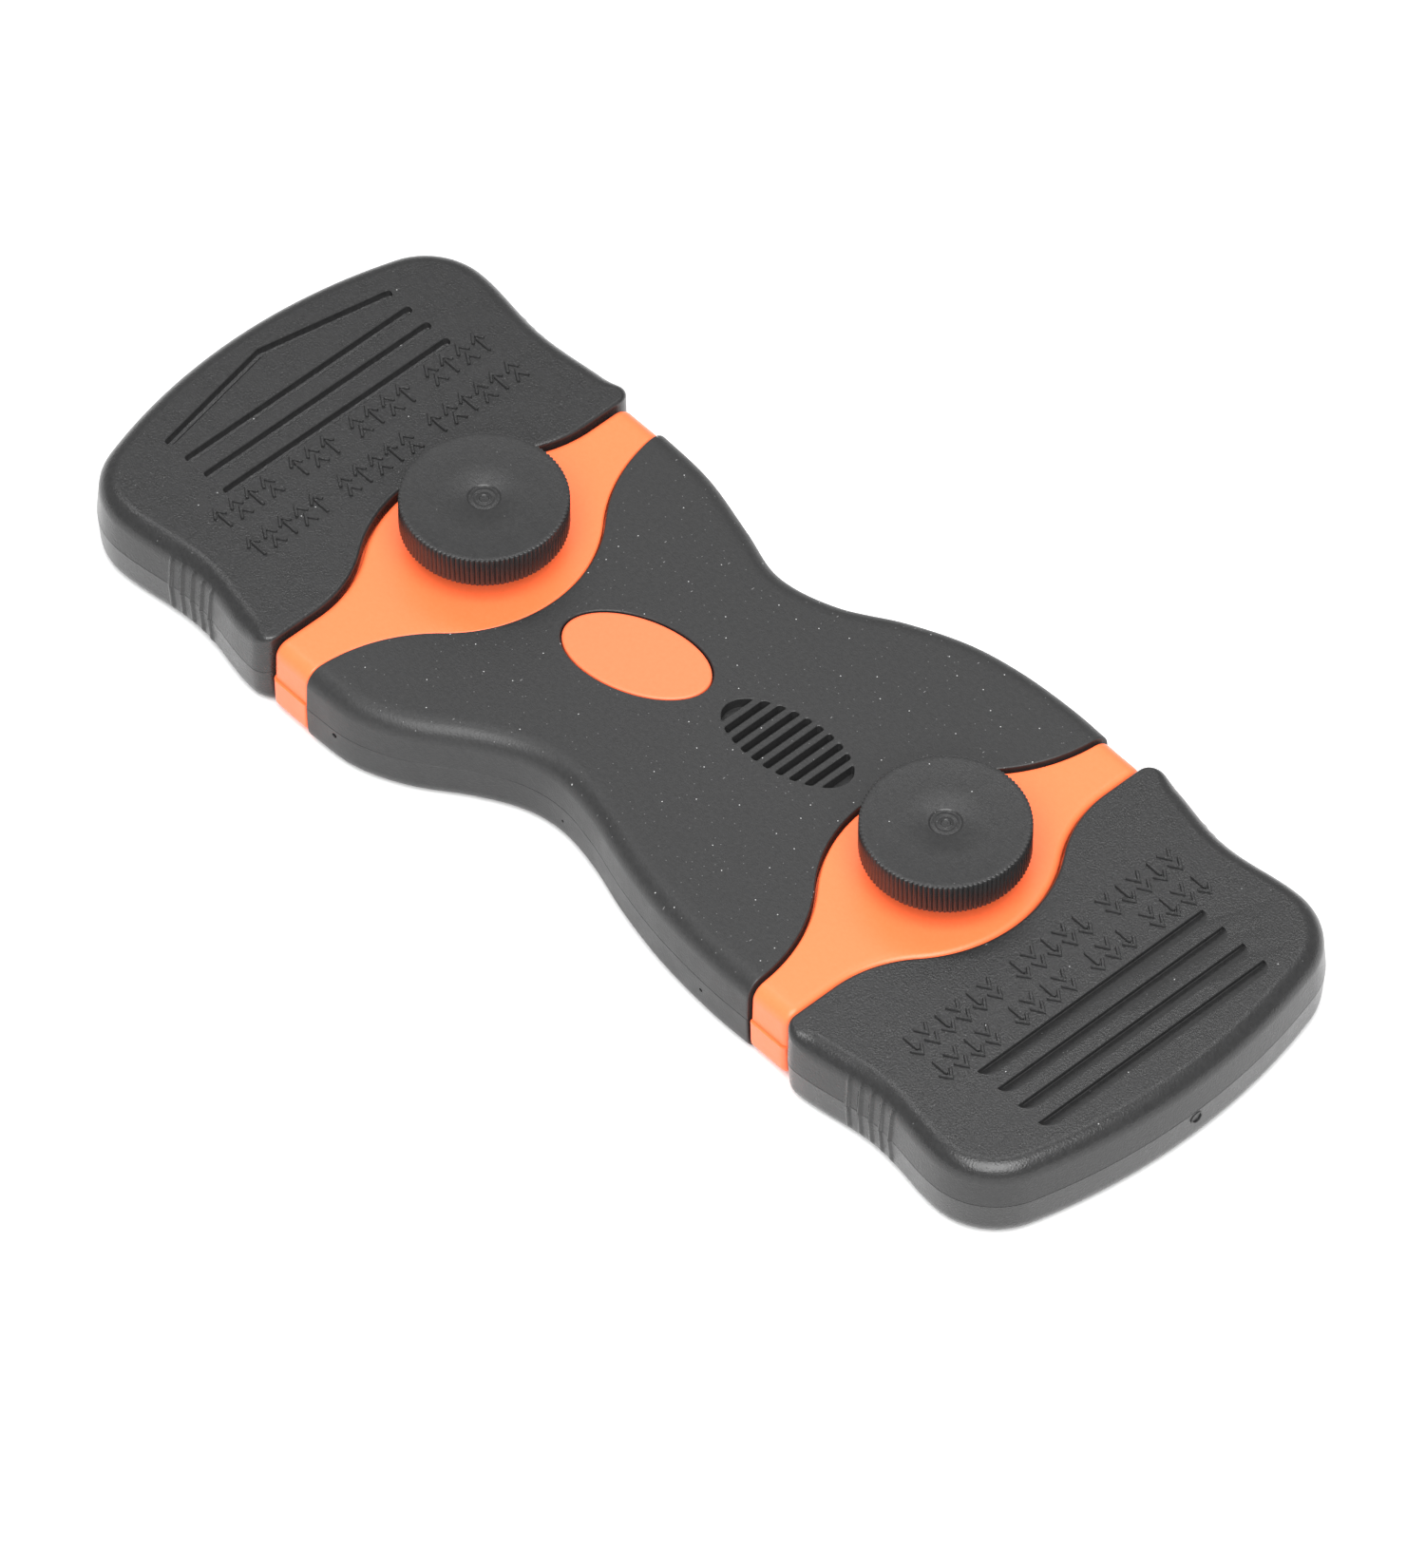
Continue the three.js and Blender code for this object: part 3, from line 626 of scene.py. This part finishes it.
def make_upper_core():
    body = core_body("core_upper_body", True, MID + GAP / 2, THICKNESS - GRIP_WALL - GAP)
    cuts = core_bays(MID - 1, THICKNESS - POCKET["floor"])
    for end in ENDS:
        cuts.append(blade_channel(end, MID - 1, CHANNEL_ROOF))
        cuts.append(rod("bore", end["knob"], BOLT_R + GAP, MID - 1, THICKNESS + 1))
    cuts += [rod("bore", at, SCREW["shank_r"] + GAP, MID - 1, SCREW["tip"] + GAP) for at in SCREWS]
    return shade(cut(body, *cuts))


def make_lower_core():
    body = core_body("core_lower_body", False, GRIP_WALL + GAP, MID - GAP / 2)
    cuts = core_bays(POCKET["floor"], MID + 1)
    hole_r, lip_r = BOLT_R + 2 * GAP, BOLT_R + 1.1
    hole = [(0, -1), (lip_r, -1), (lip_r, DECK_DROP), (hole_r, 1.1), (hole_r, MID), (0, MID)]
    for end in ENDS:
        x, y = end["knob"]
        half_x, half_y = PLATE["half_u"] + GAP, PLATE["half_v"] + GAP
        cuts.append(blade_channel(end, CHANNEL_FLOOR, MID + 1))
        cuts.append(prism("well", box_plan(x - half_x, x + half_x, y - half_y, y + half_y),
                          PLATE["bottom"] - GAP, MID))
        cuts.append(prism("nut_well", hexagon(end["knob"], NUT["flats"] + 2 * GAP),
                          NUT["bottom"] - GAP, MID))
        cuts.append(revolve("bolt_hole", hole, end["knob"]))
    for at in SCREWS:
        cuts.append(rod("head_well", at, SCREW["head_r"] + GAP, -1, SCREW["head_top"] + GAP))
        cuts.append(rod("shank_bore", at, SCREW["shank_r"] + GAP, -1, MID + 1))
    return shade(cut(body, *cuts))


# ---- guard caps ----
def finger_ribs(end, u):
    """How far the fine finger ribs stand out of a cap's side at each u."""
    offset = u - RIBS["middle"][end["out"]]
    nearest = np.clip(np.round(offset / RIBS["pitch"]), -(RIBS["count"] // 2), RIBS["count"] // 2)
    away = np.abs(offset - nearest * RIBS["pitch"]) / (RIBS["width"] / 2)
    return RIBS["height"] * np.where(away < 1, np.cos(away * math.pi / 2) ** 1.5, 0)


def cap_half(end, side):
    """One side of a cap's outline from the middle of its mouth to the middle of its end: points
    (u, v), their path length past the mouth's edge, and how far the finger ribs stand out."""
    shift = side * (end["deck"][1] - end["cap_y"])
    edge_u = OUTER_LINE + CAP_GAP
    centre_u = end["cap_length"] - end["end_radius"]
    corner_v = CAP_HALF - CAP_CORNER
    corner_u = centre_u + math.sqrt((end["end_radius"] - CAP_CORNER) ** 2 - corner_v ** 2)
    join_angle = math.atan2(corner_v, corner_u - centre_u)

    def side_v(u):
        outer = u > CAP_WAIST_U
        wave = np.where(outer, corner_u - CAP_WAIST_U, CAP_INNER_WAVE)
        bulge = np.where(outer, CAP_HALF, end["mouth"][side])
        share = (1 - np.cos(math.pi * (u - CAP_WAIST_U) / wave)) / 2
        return CAP_WAIST + (bulge - CAP_WAIST) * share

    first_u = edge_u + CAP_INNER_CORNER
    first_v = float(side_v(first_u)) - CAP_INNER_CORNER
    mouth_v = np.linspace(0, first_v - shift, CAP_STEPS["mouth"] + 1)[:-1]
    mouth = np.stack([seam_u(mouth_v, OUTER_LINE, OUTER_BLEND, CAP_GAP), mouth_v + shift], axis=1)
    corner = arc((first_u, first_v), CAP_INNER_CORNER, math.pi, math.pi / 2, CAP_STEPS["inner"])
    rib_reach = (RIBS["count"] + 1) / 2 * RIBS["pitch"]
    ribbed = RIBS["middle"][end["out"]] + np.arange(-rib_reach, rib_reach, RIBS["width"] / 8)
    side_u = np.union1d(np.linspace(first_u, corner_u, CAP_STEPS["side"] + 1)[1:-1], ribbed)
    long_side = np.stack([side_u, side_v(side_u)], axis=1)
    outer = arc((corner_u, corner_v), CAP_CORNER, math.pi / 2, join_angle, CAP_STEPS["corner"])
    tip = arc((centre_u, 0), end["end_radius"], join_angle, 0, CAP_STEPS["tip"])[1:]
    points = np.concatenate([mouth, corner, long_side, outer, tip])
    path = np.concatenate([[0], np.cumsum(np.linalg.norm(np.diff(points, axis=0), axis=1))])
    ribs = np.zeros(len(points))
    start = len(mouth) + len(corner)
    ribs[start:start + len(long_side)] = finger_ribs(end, side_u)
    return points * (1, side), path - path[len(mouth)], ribs


def cap_outline(end):
    """A cap's whole outline in plan, with the other two values of cap_half for each point."""
    halves = zip(cap_half(end, 1), cap_half(end, -1))
    points, past, ribs = (np.concatenate([far, near[-2:0:-1]]) for far, near in halves)
    return placed(end, points, end["cap_y"]), past, ribs


def cap_body(end, plan, past, ribs):
    """The outside of a cap, with its rounded rims, parting line and finger ribs."""
    inner = inwards(plan)

    def ring(move, z, rib_share=1.0):
        return at_height(plan + inner * (move - ribs * rib_share)[:, None], z)

    def rim(angle, lead, upper):
        """A ring of a rounded rim. The rim is small at the mouth and full past it; ribs fade on it."""
        ramp = np.clip((past + lead) / FILLET_RAMP, 0, 1)
        full = ramp * ramp * (3 - 2 * ramp)
        fillet = CAP_SEAM_R + (EDGE_FILLET - CAP_SEAM_R) * full
        move = CAP_DRAFT * full + fillet * (1 - math.cos(angle))
        depth = fillet * (1 - math.sin(angle))
        return ring(move, THICKNESS - depth if upper else depth, max(0.0, 1 - 2 * math.sin(angle)))

    rings = [rim(angle, LOWER_RAMP_LEAD, False) for angle in FILLET_ANGLES[::-1]]
    rings += [ring(0.0, MID - PART_LINE), ring(PART_LINE * 0.7, MID), ring(0.0, MID + PART_LINE)]
    rings += [rim(angle, 0.0, True) for angle in FILLET_ANGLES]
    return loft(f"{end['name']}_cap_shell", rings)


def cap_cavity(end, plan):
    """The space inside a cap, and the mouth that the nose slides through."""
    inner = inwards(plan)
    low, high, chamfer = CAP_SKIN, THICKNESS - CAP_SKIN, 0.5
    steps = [(low, chamfer), (low + chamfer, 0), (high - chamfer, 0), (high, chamfer)]
    rings = [at_height(plan + inner * (CAP_WALL + move), z) for z, move in steps]
    half = CAP_WAIST - CAP_WALL
    mouth = prism("mouth", end_plan(end, 0, CAP_WAIST_U, -half, half), low - MOUTH_EASE, high + MOUTH_EASE)
    return loft("cavity", rings), mouth


def cap_grooves(end):
    """Thumb grooves: round ones on the left cap, the last of them bent to a shallow point, and
    ramped ones with one steep side on the right cap."""
    half, first = GROOVE["half"], GROOVE["first"][end["out"]]
    lines = [[(u, -half), (u, half)] for u in first + GROOVE["pitch"] * np.arange(GROOVE["rows"])]
    section = RAMP_GROOVE
    if end["out"] < 0:
        section = ROUND_GROOVE
        lines[-1].insert(1, (lines[-1][0][0] + GROOVE["bend"], 0))
    return [sweep("groove", placed(end, line, end["cap_y"] + GROOVE["y"]), section,
                  *GROOVE["noses"][end["out"]]) for line in lines]


def mark_places(groups):
    """Places along a row of marks that is split into groups."""
    steps = []
    for k, size in enumerate(groups):
        steps += [len(steps) + n + MARK["group_gap"] * k for n in range(size)]
    steps = np.array(steps)
    low, high = MARK["span"]
    return low + (high - low) * steps / steps[-1]


def cap_marks(end):
    """Raised marks in two rows: chevrons and arrows that point the way the cap pulls off."""
    def stroke(*points):
        return sweep("mark", placed(end, points, end["cap_y"]), MARK_SECTION, MARK["nose"], MARK["nose"])

    def chevron(tip_u, v, back):
        return stroke((tip_u - back, v - MARK["half"]), (tip_u, v), (tip_u - back, v + MARK["half"]))

    marks, back = [], MARK["chevron"]
    for u, groups in MARK_ROWS[end["out"]].items():
        low, high = u - MARK["long"], u + MARK["long"]
        for k, v in enumerate(mark_places(groups)):
            if k % 2:
                marks += [chevron(low + back, v, back), chevron(high, v, back)]
            else:
                marks += [chevron(high, v, MARK["arrow_head"]),
                          stroke((low, v), (high - MARK["shaft_gap"], v))]
    return marks


def gate_mark(end):
    """The faint ring that the mould's gate left near the middle of a cap's end wall."""
    mark = revolve("gate", GATE_RING, (0, 0), 40)
    x = end["deck"][0] + end["out"] * (end["cap_length"] - GATE["sunk"])
    place = Vector((x, end["cap_y"] + GATE["y"], GATE["z"])) * MM
    mark.data.transform(Matrix.Translation(place) @ Matrix.Rotation(end["out"] * math.pi / 2, 4, "Y"))
    return mark


def make_cap(end):
    plan, past, ribs = cap_outline(end)
    body = cap_body(end, plan, past, ribs)
    join(body, *cap_marks(end), gate_mark(end))
    cut(body, *cap_cavity(end, plan), *cap_grooves(end))
    return shade(body, 30)


# ---- blade clamp ----
def make_blade(end):
    """A ground blade: full thickness up to the bevel, then both faces fall to a fine edge."""
    middle = BLADE_BOTTOM + BLADE_THICK / 2

    def plan(back):
        slope = math.hypot(BLADE_HALF, end["blade_point"]) / BLADE_HALF
        front = end["blade_length"] - back * slope
        points = [(-BLADE_TAIL, -BLADE_HALF), (front, -BLADE_HALF), (front + end["blade_point"], 0),
                  (front, BLADE_HALF), (-BLADE_TAIL, BLADE_HALF)]
        return placed(end, points, end["cap_y"])

    steps = [(BLADE_BEVEL, BLADE_BOTTOM), (0, middle - BLADE_EDGE), (0, middle + BLADE_EDGE),
             (BLADE_BEVEL, BLADE_BOTTOM + BLADE_THICK)]
    body = loft(f"{end['blade']}_ground", [at_height(plan(back), z) for back, z in steps])
    x, y = end["knob"]
    low, high = sorted((x, x + end["out"] * (BLADE_RETRACT + 2)))
    slot = np.concatenate([arc((high, y), BLADE_SLOT_HALF, -math.pi / 2, math.pi / 2, 20),
                           arc((low, y), BLADE_SLOT_HALF, math.pi / 2, math.pi * 1.5, 20)])
    return shade(cut(body, prism("slot", slot, 0, THICKNESS)), 8)


def thread(name, centre, radius, pitch, depth, z0, z1, steps=36):
    """A rod with a screw thread, chamfered at both ends."""
    rows = int((z1 - z0) / pitch * THREAD_ROWS) + 1
    z = np.linspace(z0, z1, rows)[:, None]
    angle = np.linspace(0, 2 * math.pi, steps, endpoint=False)[None, :]
    phase = (z / pitch - angle / (2 * math.pi)) % 1.0
    crest = np.clip(np.abs(phase - 0.5) * 2.4 - 0.2, 0, 1)
    end_cone = np.clip(np.minimum(z - z0, z1 - z) / depth, 0, 1)
    r = radius - depth * np.maximum(1 - crest, 1 - end_cone)
    rings = [np.stack([centre[0] + r[k] * np.cos(angle[0]), centre[1] + r[k] * np.sin(angle[0]),
                       np.full(steps, z[k, 0])], axis=1) for k in range(rows)]
    return loft(name, rings)


def hex_body(name, centre, flats, z0, z1, low):
    """A hexagon whose corners are turned off at its high rim, and at its low one if low is set."""
    body = prism(name, hexagon(centre, flats), z0, z1)
    face_r, reach, drop = flats / 2 - 0.1, flats / math.sqrt(3) + 0.1, 0.5
    lens = [(0, z0), (face_r, z0), (reach, z0 + drop)] if low else [(0, z0), (reach, z0)]
    lens += [(reach, z1 - drop), (face_r, z1), (0, z1)]
    return combine(body, "INTERSECT", [revolve("lens", lens, centre)])


def make_bolt(end):
    shank = thread(f"{end['name']}_bolt_threaded", end["knob"], BOLT_R, **BOLT_THREAD, z0=BOLT_TIP,
                   z1=HEAD["bottom"] + 1)
    head = hex_body("head", end["knob"], HEAD["flats"], HEAD["bottom"], HEAD["top"], False)
    return shade(join(shank, head))


def make_nut(end):
    low, high = NUT["bottom"], NUT["top"]
    body = hex_body(f"{end['name']}_nut_hex", end["knob"], NUT["flats"], low, high, True)
    bore_r, lip_r, drop = BOLT_R + 0.15, BOLT_R + 0.7, 0.45
    profile = [(0, low - 1), (lip_r, low - 0.001), (bore_r, low + drop), (bore_r, high - drop),
               (lip_r, high + 0.001), (0, high + 1)]
    return shade(cut(body, revolve("hole", profile, end["knob"])))


def make_washer(end):
    inner, outer = BOLT_R + GAP, WASHER["r"]
    low, high = WASHER["bottom"], WASHER["top"]
    profile = [(inner + 0.1, low), (outer - 0.25, low), (outer, low + 0.2), (outer, high - 0.2),
               (outer - 0.2, high), (inner + 0.1, high), (inner, high - 0.1), (inner, low + 0.1)]
    return shade(revolve(f"{end['name']}_washer_ring", profile, end["knob"], 72))


def make_screw(index, at):
    low, high, radius = SCREW["head_bottom"], SCREW["head_top"], SCREW["head_r"]
    profile = [(radius * math.sin(a), low + CROSS["dome"] * (1 - math.cos(a))) for a in FILLET_ANGLES]
    profile += [(radius, high), (0, high)]
    head = revolve(f"handle_screw_{index}_cross_head", profile, at)
    long, wide = CROSS["half_long"], CROSS["half_wide"]
    slots = []
    for turn in (0, math.pi / 2):
        slot = rounded_prism("slot", box_plan(-long, long, -wide, wide), low - 1, low + CROSS["depth"], 0.1)
        slot.data.transform(Matrix.Translation(Vector((*at, 0)) * MM) @ Matrix.Rotation(turn, 4, "Z"))
        slots.append(slot)
    cut(head, *slots)
    shank = thread("shank", at, SCREW["shank_r"], **SCREW_THREAD, z0=low + 1.5, z1=SCREW["tip"], steps=24)
    return shade(join(head, shank))


# ---- knobs ----
def make_knob(end):
    """A thumb knob: boss, knurled rim, slightly dished top and a small ringed recess."""
    low, rim = HEAD["bottom"], KNOB_TOP - KNOB_RIM
    profile = [(0, low), (KNOB_BOSS_R - 0.5, low), (KNOB_BOSS_R, low + 0.4), (KNOB_BOSS_R, rim - 0.3),
               (KNOB_BOSS_R + 0.3, rim), (10.3, rim), (10.75, rim + 0.12), (KNOB_R, rim + 0.4)]
    profile += [(radius, KNOB_TOP + z) for radius, z in KNOB_CROWN]

    def knurl(radius, angle):
        wave = 1 - np.abs(np.sin(angle * KNURL["teeth"] / 2))
        full = np.clip((radius - KNURL["from_r"]) / KNURL["fade"], 0, 1)
        return KNURL["depth"] * full * wave

    body = revolve(f"{end['name']}_knob_knurled", profile, end["knob"],
                   KNURL["teeth"] * KNURL["steps"], knurl)
    socket = prism("socket", hexagon(end["knob"], HEAD["flats"] + 2 * GAP), low - 1, HEAD["top"] + GAP)
    return shade(cut(body, socket), 40)


# ---- materials ----
# Scales are in features per metre and bump depths in metres.
PLASTIC_SPECULAR = 0.38
TINT_SCALE = 1700.0
PATCH_SCALE = 420.0
GRAIN_SCALE = 3600.0
GRAIN_DEPTH = 0.00004
# Layers of dust: turn and stretch in plan, scale, reach of a speck, share of cells, grey level.
DUST = [(0.0, 1.0, 290.0, 0.022, 0.3, 0.4), (0.4, 1.0, 760.0, 0.055, 0.25, 0.09),
        (0.7, 0.35, 420.0, 0.024, 0.05, 0.14), (-1.1, 0.3, 380.0, 0.022, 0.06, 0.12),
        (2.2, 0.25, 350.0, 0.02, 0.06, 0.12)]
LINE_SCALE = 900.0
LINE_DEPTH = 0.00003
LINE_TONE = 0.86
SHEEN_SCALE = 300.0


def plug(tree, socket, value):
    """Links a node's output to a socket, or sets the socket to a plain value."""
    if isinstance(value, bpy.types.NodeSocket):
        tree.links.new(value, socket)
    else:
        socket.default_value = value


def new_material(name):
    """A material, a function that adds a node to it, and one that feeds its shader."""
    material = bpy.data.materials.new(name)
    material.use_nodes = True
    tree = material.node_tree
    shader = tree.nodes["Principled BSDF"]

    def add(kind, inputs=None, **settings):
        node = tree.nodes.new(kind)
        for key, value in settings.items():
            setattr(node, key, value)
        for key, value in (inputs or {}).items():
            plug(tree, node.inputs[key], value)
        return node

    def feed(key, value):
        plug(tree, shader.inputs[key], value)

    return material, add, feed


def noise(add, place, scale, detail=3.0, low=0.0, high=1.0):
    """Noise mapped from its usual range to low...high."""
    node = add("ShaderNodeTexNoise", {"Vector": place, "Scale": scale, "Detail": detail})
    level = add("ShaderNodeMapRange", {"Value": node.outputs["Fac"], "From Min": 0.3, "From Max": 0.7,
                                       "To Min": low, "To Max": high})
    return level.outputs["Result"]


def mix_colour(add, share, a, b):
    """A mix of two colours: inputs 0, 6 and 7 of the node are its factor and its two colours."""
    return add("ShaderNodeMix", {0: share, 6: a, 7: b}, data_type="RGBA").outputs[2]


def compute(add, operation, a, b):
    return add("ShaderNodeMath", {0: a, 1: b}, operation=operation).outputs[0]


def bump(add, height, strength, distance):
    node = add("ShaderNodeBump", {"Height": height, "Strength": strength, "Distance": distance})
    return node.outputs["Normal"]


def dust(add, place, scale, reach, share):
    """Specks in plan: the middles of a few randomly chosen cells."""
    cells = add("ShaderNodeTexVoronoi", {"Vector": place, "Scale": scale}, feature="F1",
                voronoi_dimensions="2D")
    near = compute(add, "LESS_THAN", cells.outputs["Distance"], reach)
    pick = add("ShaderNodeSeparateColor", {"Color": cells.outputs["Color"]})
    few = compute(add, "LESS_THAN", pick.outputs["Red"], share)
    return compute(add, "MULTIPLY", near, few)


def settled_dust(add, place, colour, amount):
    """Lays bright specks, faint grit and short fibres over a colour, on faces that look up."""
    facing = add("ShaderNodeSeparateXYZ", {0: add("ShaderNodeNewGeometry").outputs["Normal"]})
    upward = compute(add, "GREATER_THAN", facing.outputs["Z"], 0.5)
    for turn, stretch, scale, reach, share, tone in DUST:
        turned = add("ShaderNodeMapping", {"Vector": place, "Rotation": (0, 0, turn),
                                           "Scale": (1, stretch, 1)})
        specks = dust(add, turned.outputs["Vector"], scale, reach, share * amount)
        lying = compute(add, "MULTIPLY", specks, upward)
        colour = mix_colour(add, lying, colour, (tone, tone, tone, 1))
    return colour


def moulded_plastic(name, dark, light, roughness, grain, dusty=0.0):
    """Moulded plastic with a fine spark-eroded grain, and some dust if dusty isn't 0."""
    material, add, feed = new_material(name)
    place = add("ShaderNodeTexCoord").outputs["Object"]
    colour = mix_colour(add, noise(add, place, TINT_SCALE, 2.0), (*dark, 1), (*light, 1))
    if dusty:
        colour = settled_dust(add, place, colour, dusty)
    feed("Base Color", colour)
    feed("Specular IOR Level", PLASTIC_SPECULAR)
    feed("Roughness", noise(add, place, PATCH_SCALE, 4.0, roughness - 0.03, roughness + 0.03))
    feed("Normal", bump(add, noise(add, place, GRAIN_SCALE, 2.0), grain, GRAIN_DEPTH))
    return material


def steel(name, colour, roughness, stretch):
    """Bare or plated steel with fine lines drawn along one direction."""
    material, add, feed = new_material(name)
    place = add("ShaderNodeTexCoord").outputs["Object"]
    lined = add("ShaderNodeMapping", {"Vector": place, "Scale": stretch}).outputs["Vector"]
    lines = noise(add, lined, LINE_SCALE, 4.0)
    tone = tuple(c * LINE_TONE for c in colour)
    feed("Base Color", mix_colour(add, lines, (*tone, 1), (*colour, 1)))
    feed("Metallic", 1.0)
    feed("Roughness", noise(add, place, SHEEN_SCALE, 3.0, roughness - 0.05, roughness + 0.08))
    feed("Normal", bump(add, lines, 0.25, LINE_DEPTH))
    return material


# The two tints that each plastic wavers between.
CHARCOAL = (0.0135, 0.0135, 0.0137), (0.0185, 0.0185, 0.0187)
ORANGE = (0.95, 0.148, 0.047), (0.98, 0.156, 0.052)
BADGE_ORANGE = (0.95, 0.142, 0.052), (0.98, 0.15, 0.057)
MATERIALS = {
    "black_plastic": moulded_plastic("charcoal_grip", *CHARCOAL, 0.46, 0.4, 1.0),
    "cap_plastic": moulded_plastic("charcoal_cap", *CHARCOAL, 0.28, 0.5, 0.12),
    "knob_plastic": moulded_plastic("black_knob", *CHARCOAL, 0.34, 0.3, 0.1),
    "orange_plastic": moulded_plastic("orange_core", *ORANGE, 0.38, 0.12),
    "badge_plastic": moulded_plastic("orange_inlay", *BADGE_ORANGE, 0.46, 0.12),
    "zinc_steel": steel("zinc_plate", (0.66, 0.67, 0.69), 0.3, (1, 1, 1)),
    "blade_steel": steel("ground_steel", (0.7, 0.71, 0.73), 0.24, (0.04, 1, 1)),
}


def dress(piece, slot):
    piece.data.materials.clear()
    piece.data.materials.append(MATERIALS[slot])


def add_piece(piece, node, body, slot):
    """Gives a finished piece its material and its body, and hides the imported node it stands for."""
    dress(piece, slot)
    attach(piece, body)
    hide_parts(node)


# ---- assembly ----
add_piece(make_upper_grip(), "grip_upper", "handle", "black_plastic")
add_piece(make_lower_grip(), "grip_lower", "handle", "black_plastic")
add_piece(make_upper_core(), "core_upper", "handle", "orange_plastic")
add_piece(make_lower_core(), "core_lower", "handle", "orange_plastic")
add_piece(make_badge(), "badge_plate", "handle", "badge_plastic")
for number, place in enumerate(SCREWS, 1):
    add_piece(make_screw(number, place), f"handle_screw_{number}", "handle", "zinc_steel")

for end in ENDS:
    side = end["name"]
    add_piece(make_cap(end), f"{side}_cap", f"cap_at_{side}", "cap_plastic")
    add_piece(make_blade(end), end["blade"], f"blade_at_{side}", "blade_steel")
    add_piece(make_nut(end), f"{side}_clamp_nut", "handle", "zinc_steel")
    add_piece(make_washer(end), f"{side}_washer", f"washer_at_{side}", "zinc_steel")
    add_piece(make_bolt(end), f"{side}_knob_bolt", f"knob_at_{side}", "zinc_steel")
    add_piece(make_knob(end), f"{side}_knob", f"knob_at_{side}", "knob_plastic")
    dress(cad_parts[f"{side}_clamp_plate"], "zinc_steel")


# ---- floor, light and camera ----
FLOOR = {"half": 3000, "z": -0.05, "patches": 3.0}
SKY_STRENGTH = 0.62
LIGHT_SIDE = (0.68, 0.74, 0)
LIGHTS = {"overhead": ((0.42, -0.38, 1.0), (1.0, 1.0), 30.0),    # place and size in metres, watts
          "crest_strip": ((-0.46, 0.31, 1.1), (1.1, 0.1), 4.0)}
CAMERA = {"azimuth": 47.5, "elevation": 50.0, "distance": 2.0978, "lens": 381.13, "aim": (-0.05, -15.77)}


def make_floor():
    material, add, feed = new_material("pale_floor")
    place = add("ShaderNodeTexCoord").outputs["Object"]
    feed("Base Color", mix_colour(add, noise(add, place, FLOOR["patches"]), (0.81, 0.81, 0.81, 1),
                                  (0.83, 0.83, 0.83, 1)))
    feed("Roughness", 0.8)
    half = FLOOR["half"]
    floor = mesh_object("floor", at_height(box_plan(-half, half, -half, half), FLOOR["z"]), [(0, 1, 2, 3)])
    floor.data.materials.append(material)


def stand(name, data, where, right, back):
    """Places a light or a camera: right and back are its first and third axis."""
    thing = bpy.data.objects.new(name, data)
    axes = Matrix((right, back.cross(right), back)).transposed().to_4x4()
    thing.matrix_world = Matrix.Translation(where) @ axes
    bpy.context.scene.collection.objects.link(thing)
    return thing


def area_light(name, where, size, power):
    """A soft box aimed at the origin, with its first side as near as can be to LIGHT_SIDE."""
    data = bpy.data.lights.new(name, "AREA")
    data.shape = "RECTANGLE"
    data.size, data.size_y = size
    data.energy = power
    back = Vector(where).normalized()
    side = (Vector(LIGHT_SIDE) - back * back.dot(LIGHT_SIDE)).normalized()
    stand(name, data, where, side, back)


def make_lights():
    world = bpy.data.worlds.new("studio")
    bpy.context.scene.world = world
    world.use_nodes = True
    background = world.node_tree.nodes["Background"]
    background.inputs["Color"].default_value = (1.0, 1.0, 1.0, 1)
    background.inputs["Strength"].default_value = SKY_STRENGTH
    for name, settings in LIGHTS.items():
        area_light(name, *settings)


def make_camera():
    """A long lens at the photograph's angle. The aim is a move right and up in the picture, in
    millimetres, from the middle of the tool at the height of the knobs' tops."""
    azimuth, elevation = math.radians(CAMERA["azimuth"]), math.radians(CAMERA["elevation"])
    right = Vector((math.cos(azimuth), math.sin(azimuth), 0))
    back = Vector((math.sin(azimuth) * math.cos(elevation), -math.cos(azimuth) * math.cos(elevation),
                   math.sin(elevation)))
    move = right * CAMERA["aim"][0] + back.cross(right) * CAMERA["aim"][1]
    aim = Vector((0, 0, KNOB_TOP * MM)) + move * MM
    data = bpy.data.cameras.new("camera")
    data.lens = CAMERA["lens"]
    data.clip_end = 20
    camera = stand("camera", data, aim + back * CAMERA["distance"], right, back)
    bpy.context.scene.camera = camera


make_floor()
make_lights()
make_camera()
bpy.context.scene.view_settings.view_transform = "Standard"
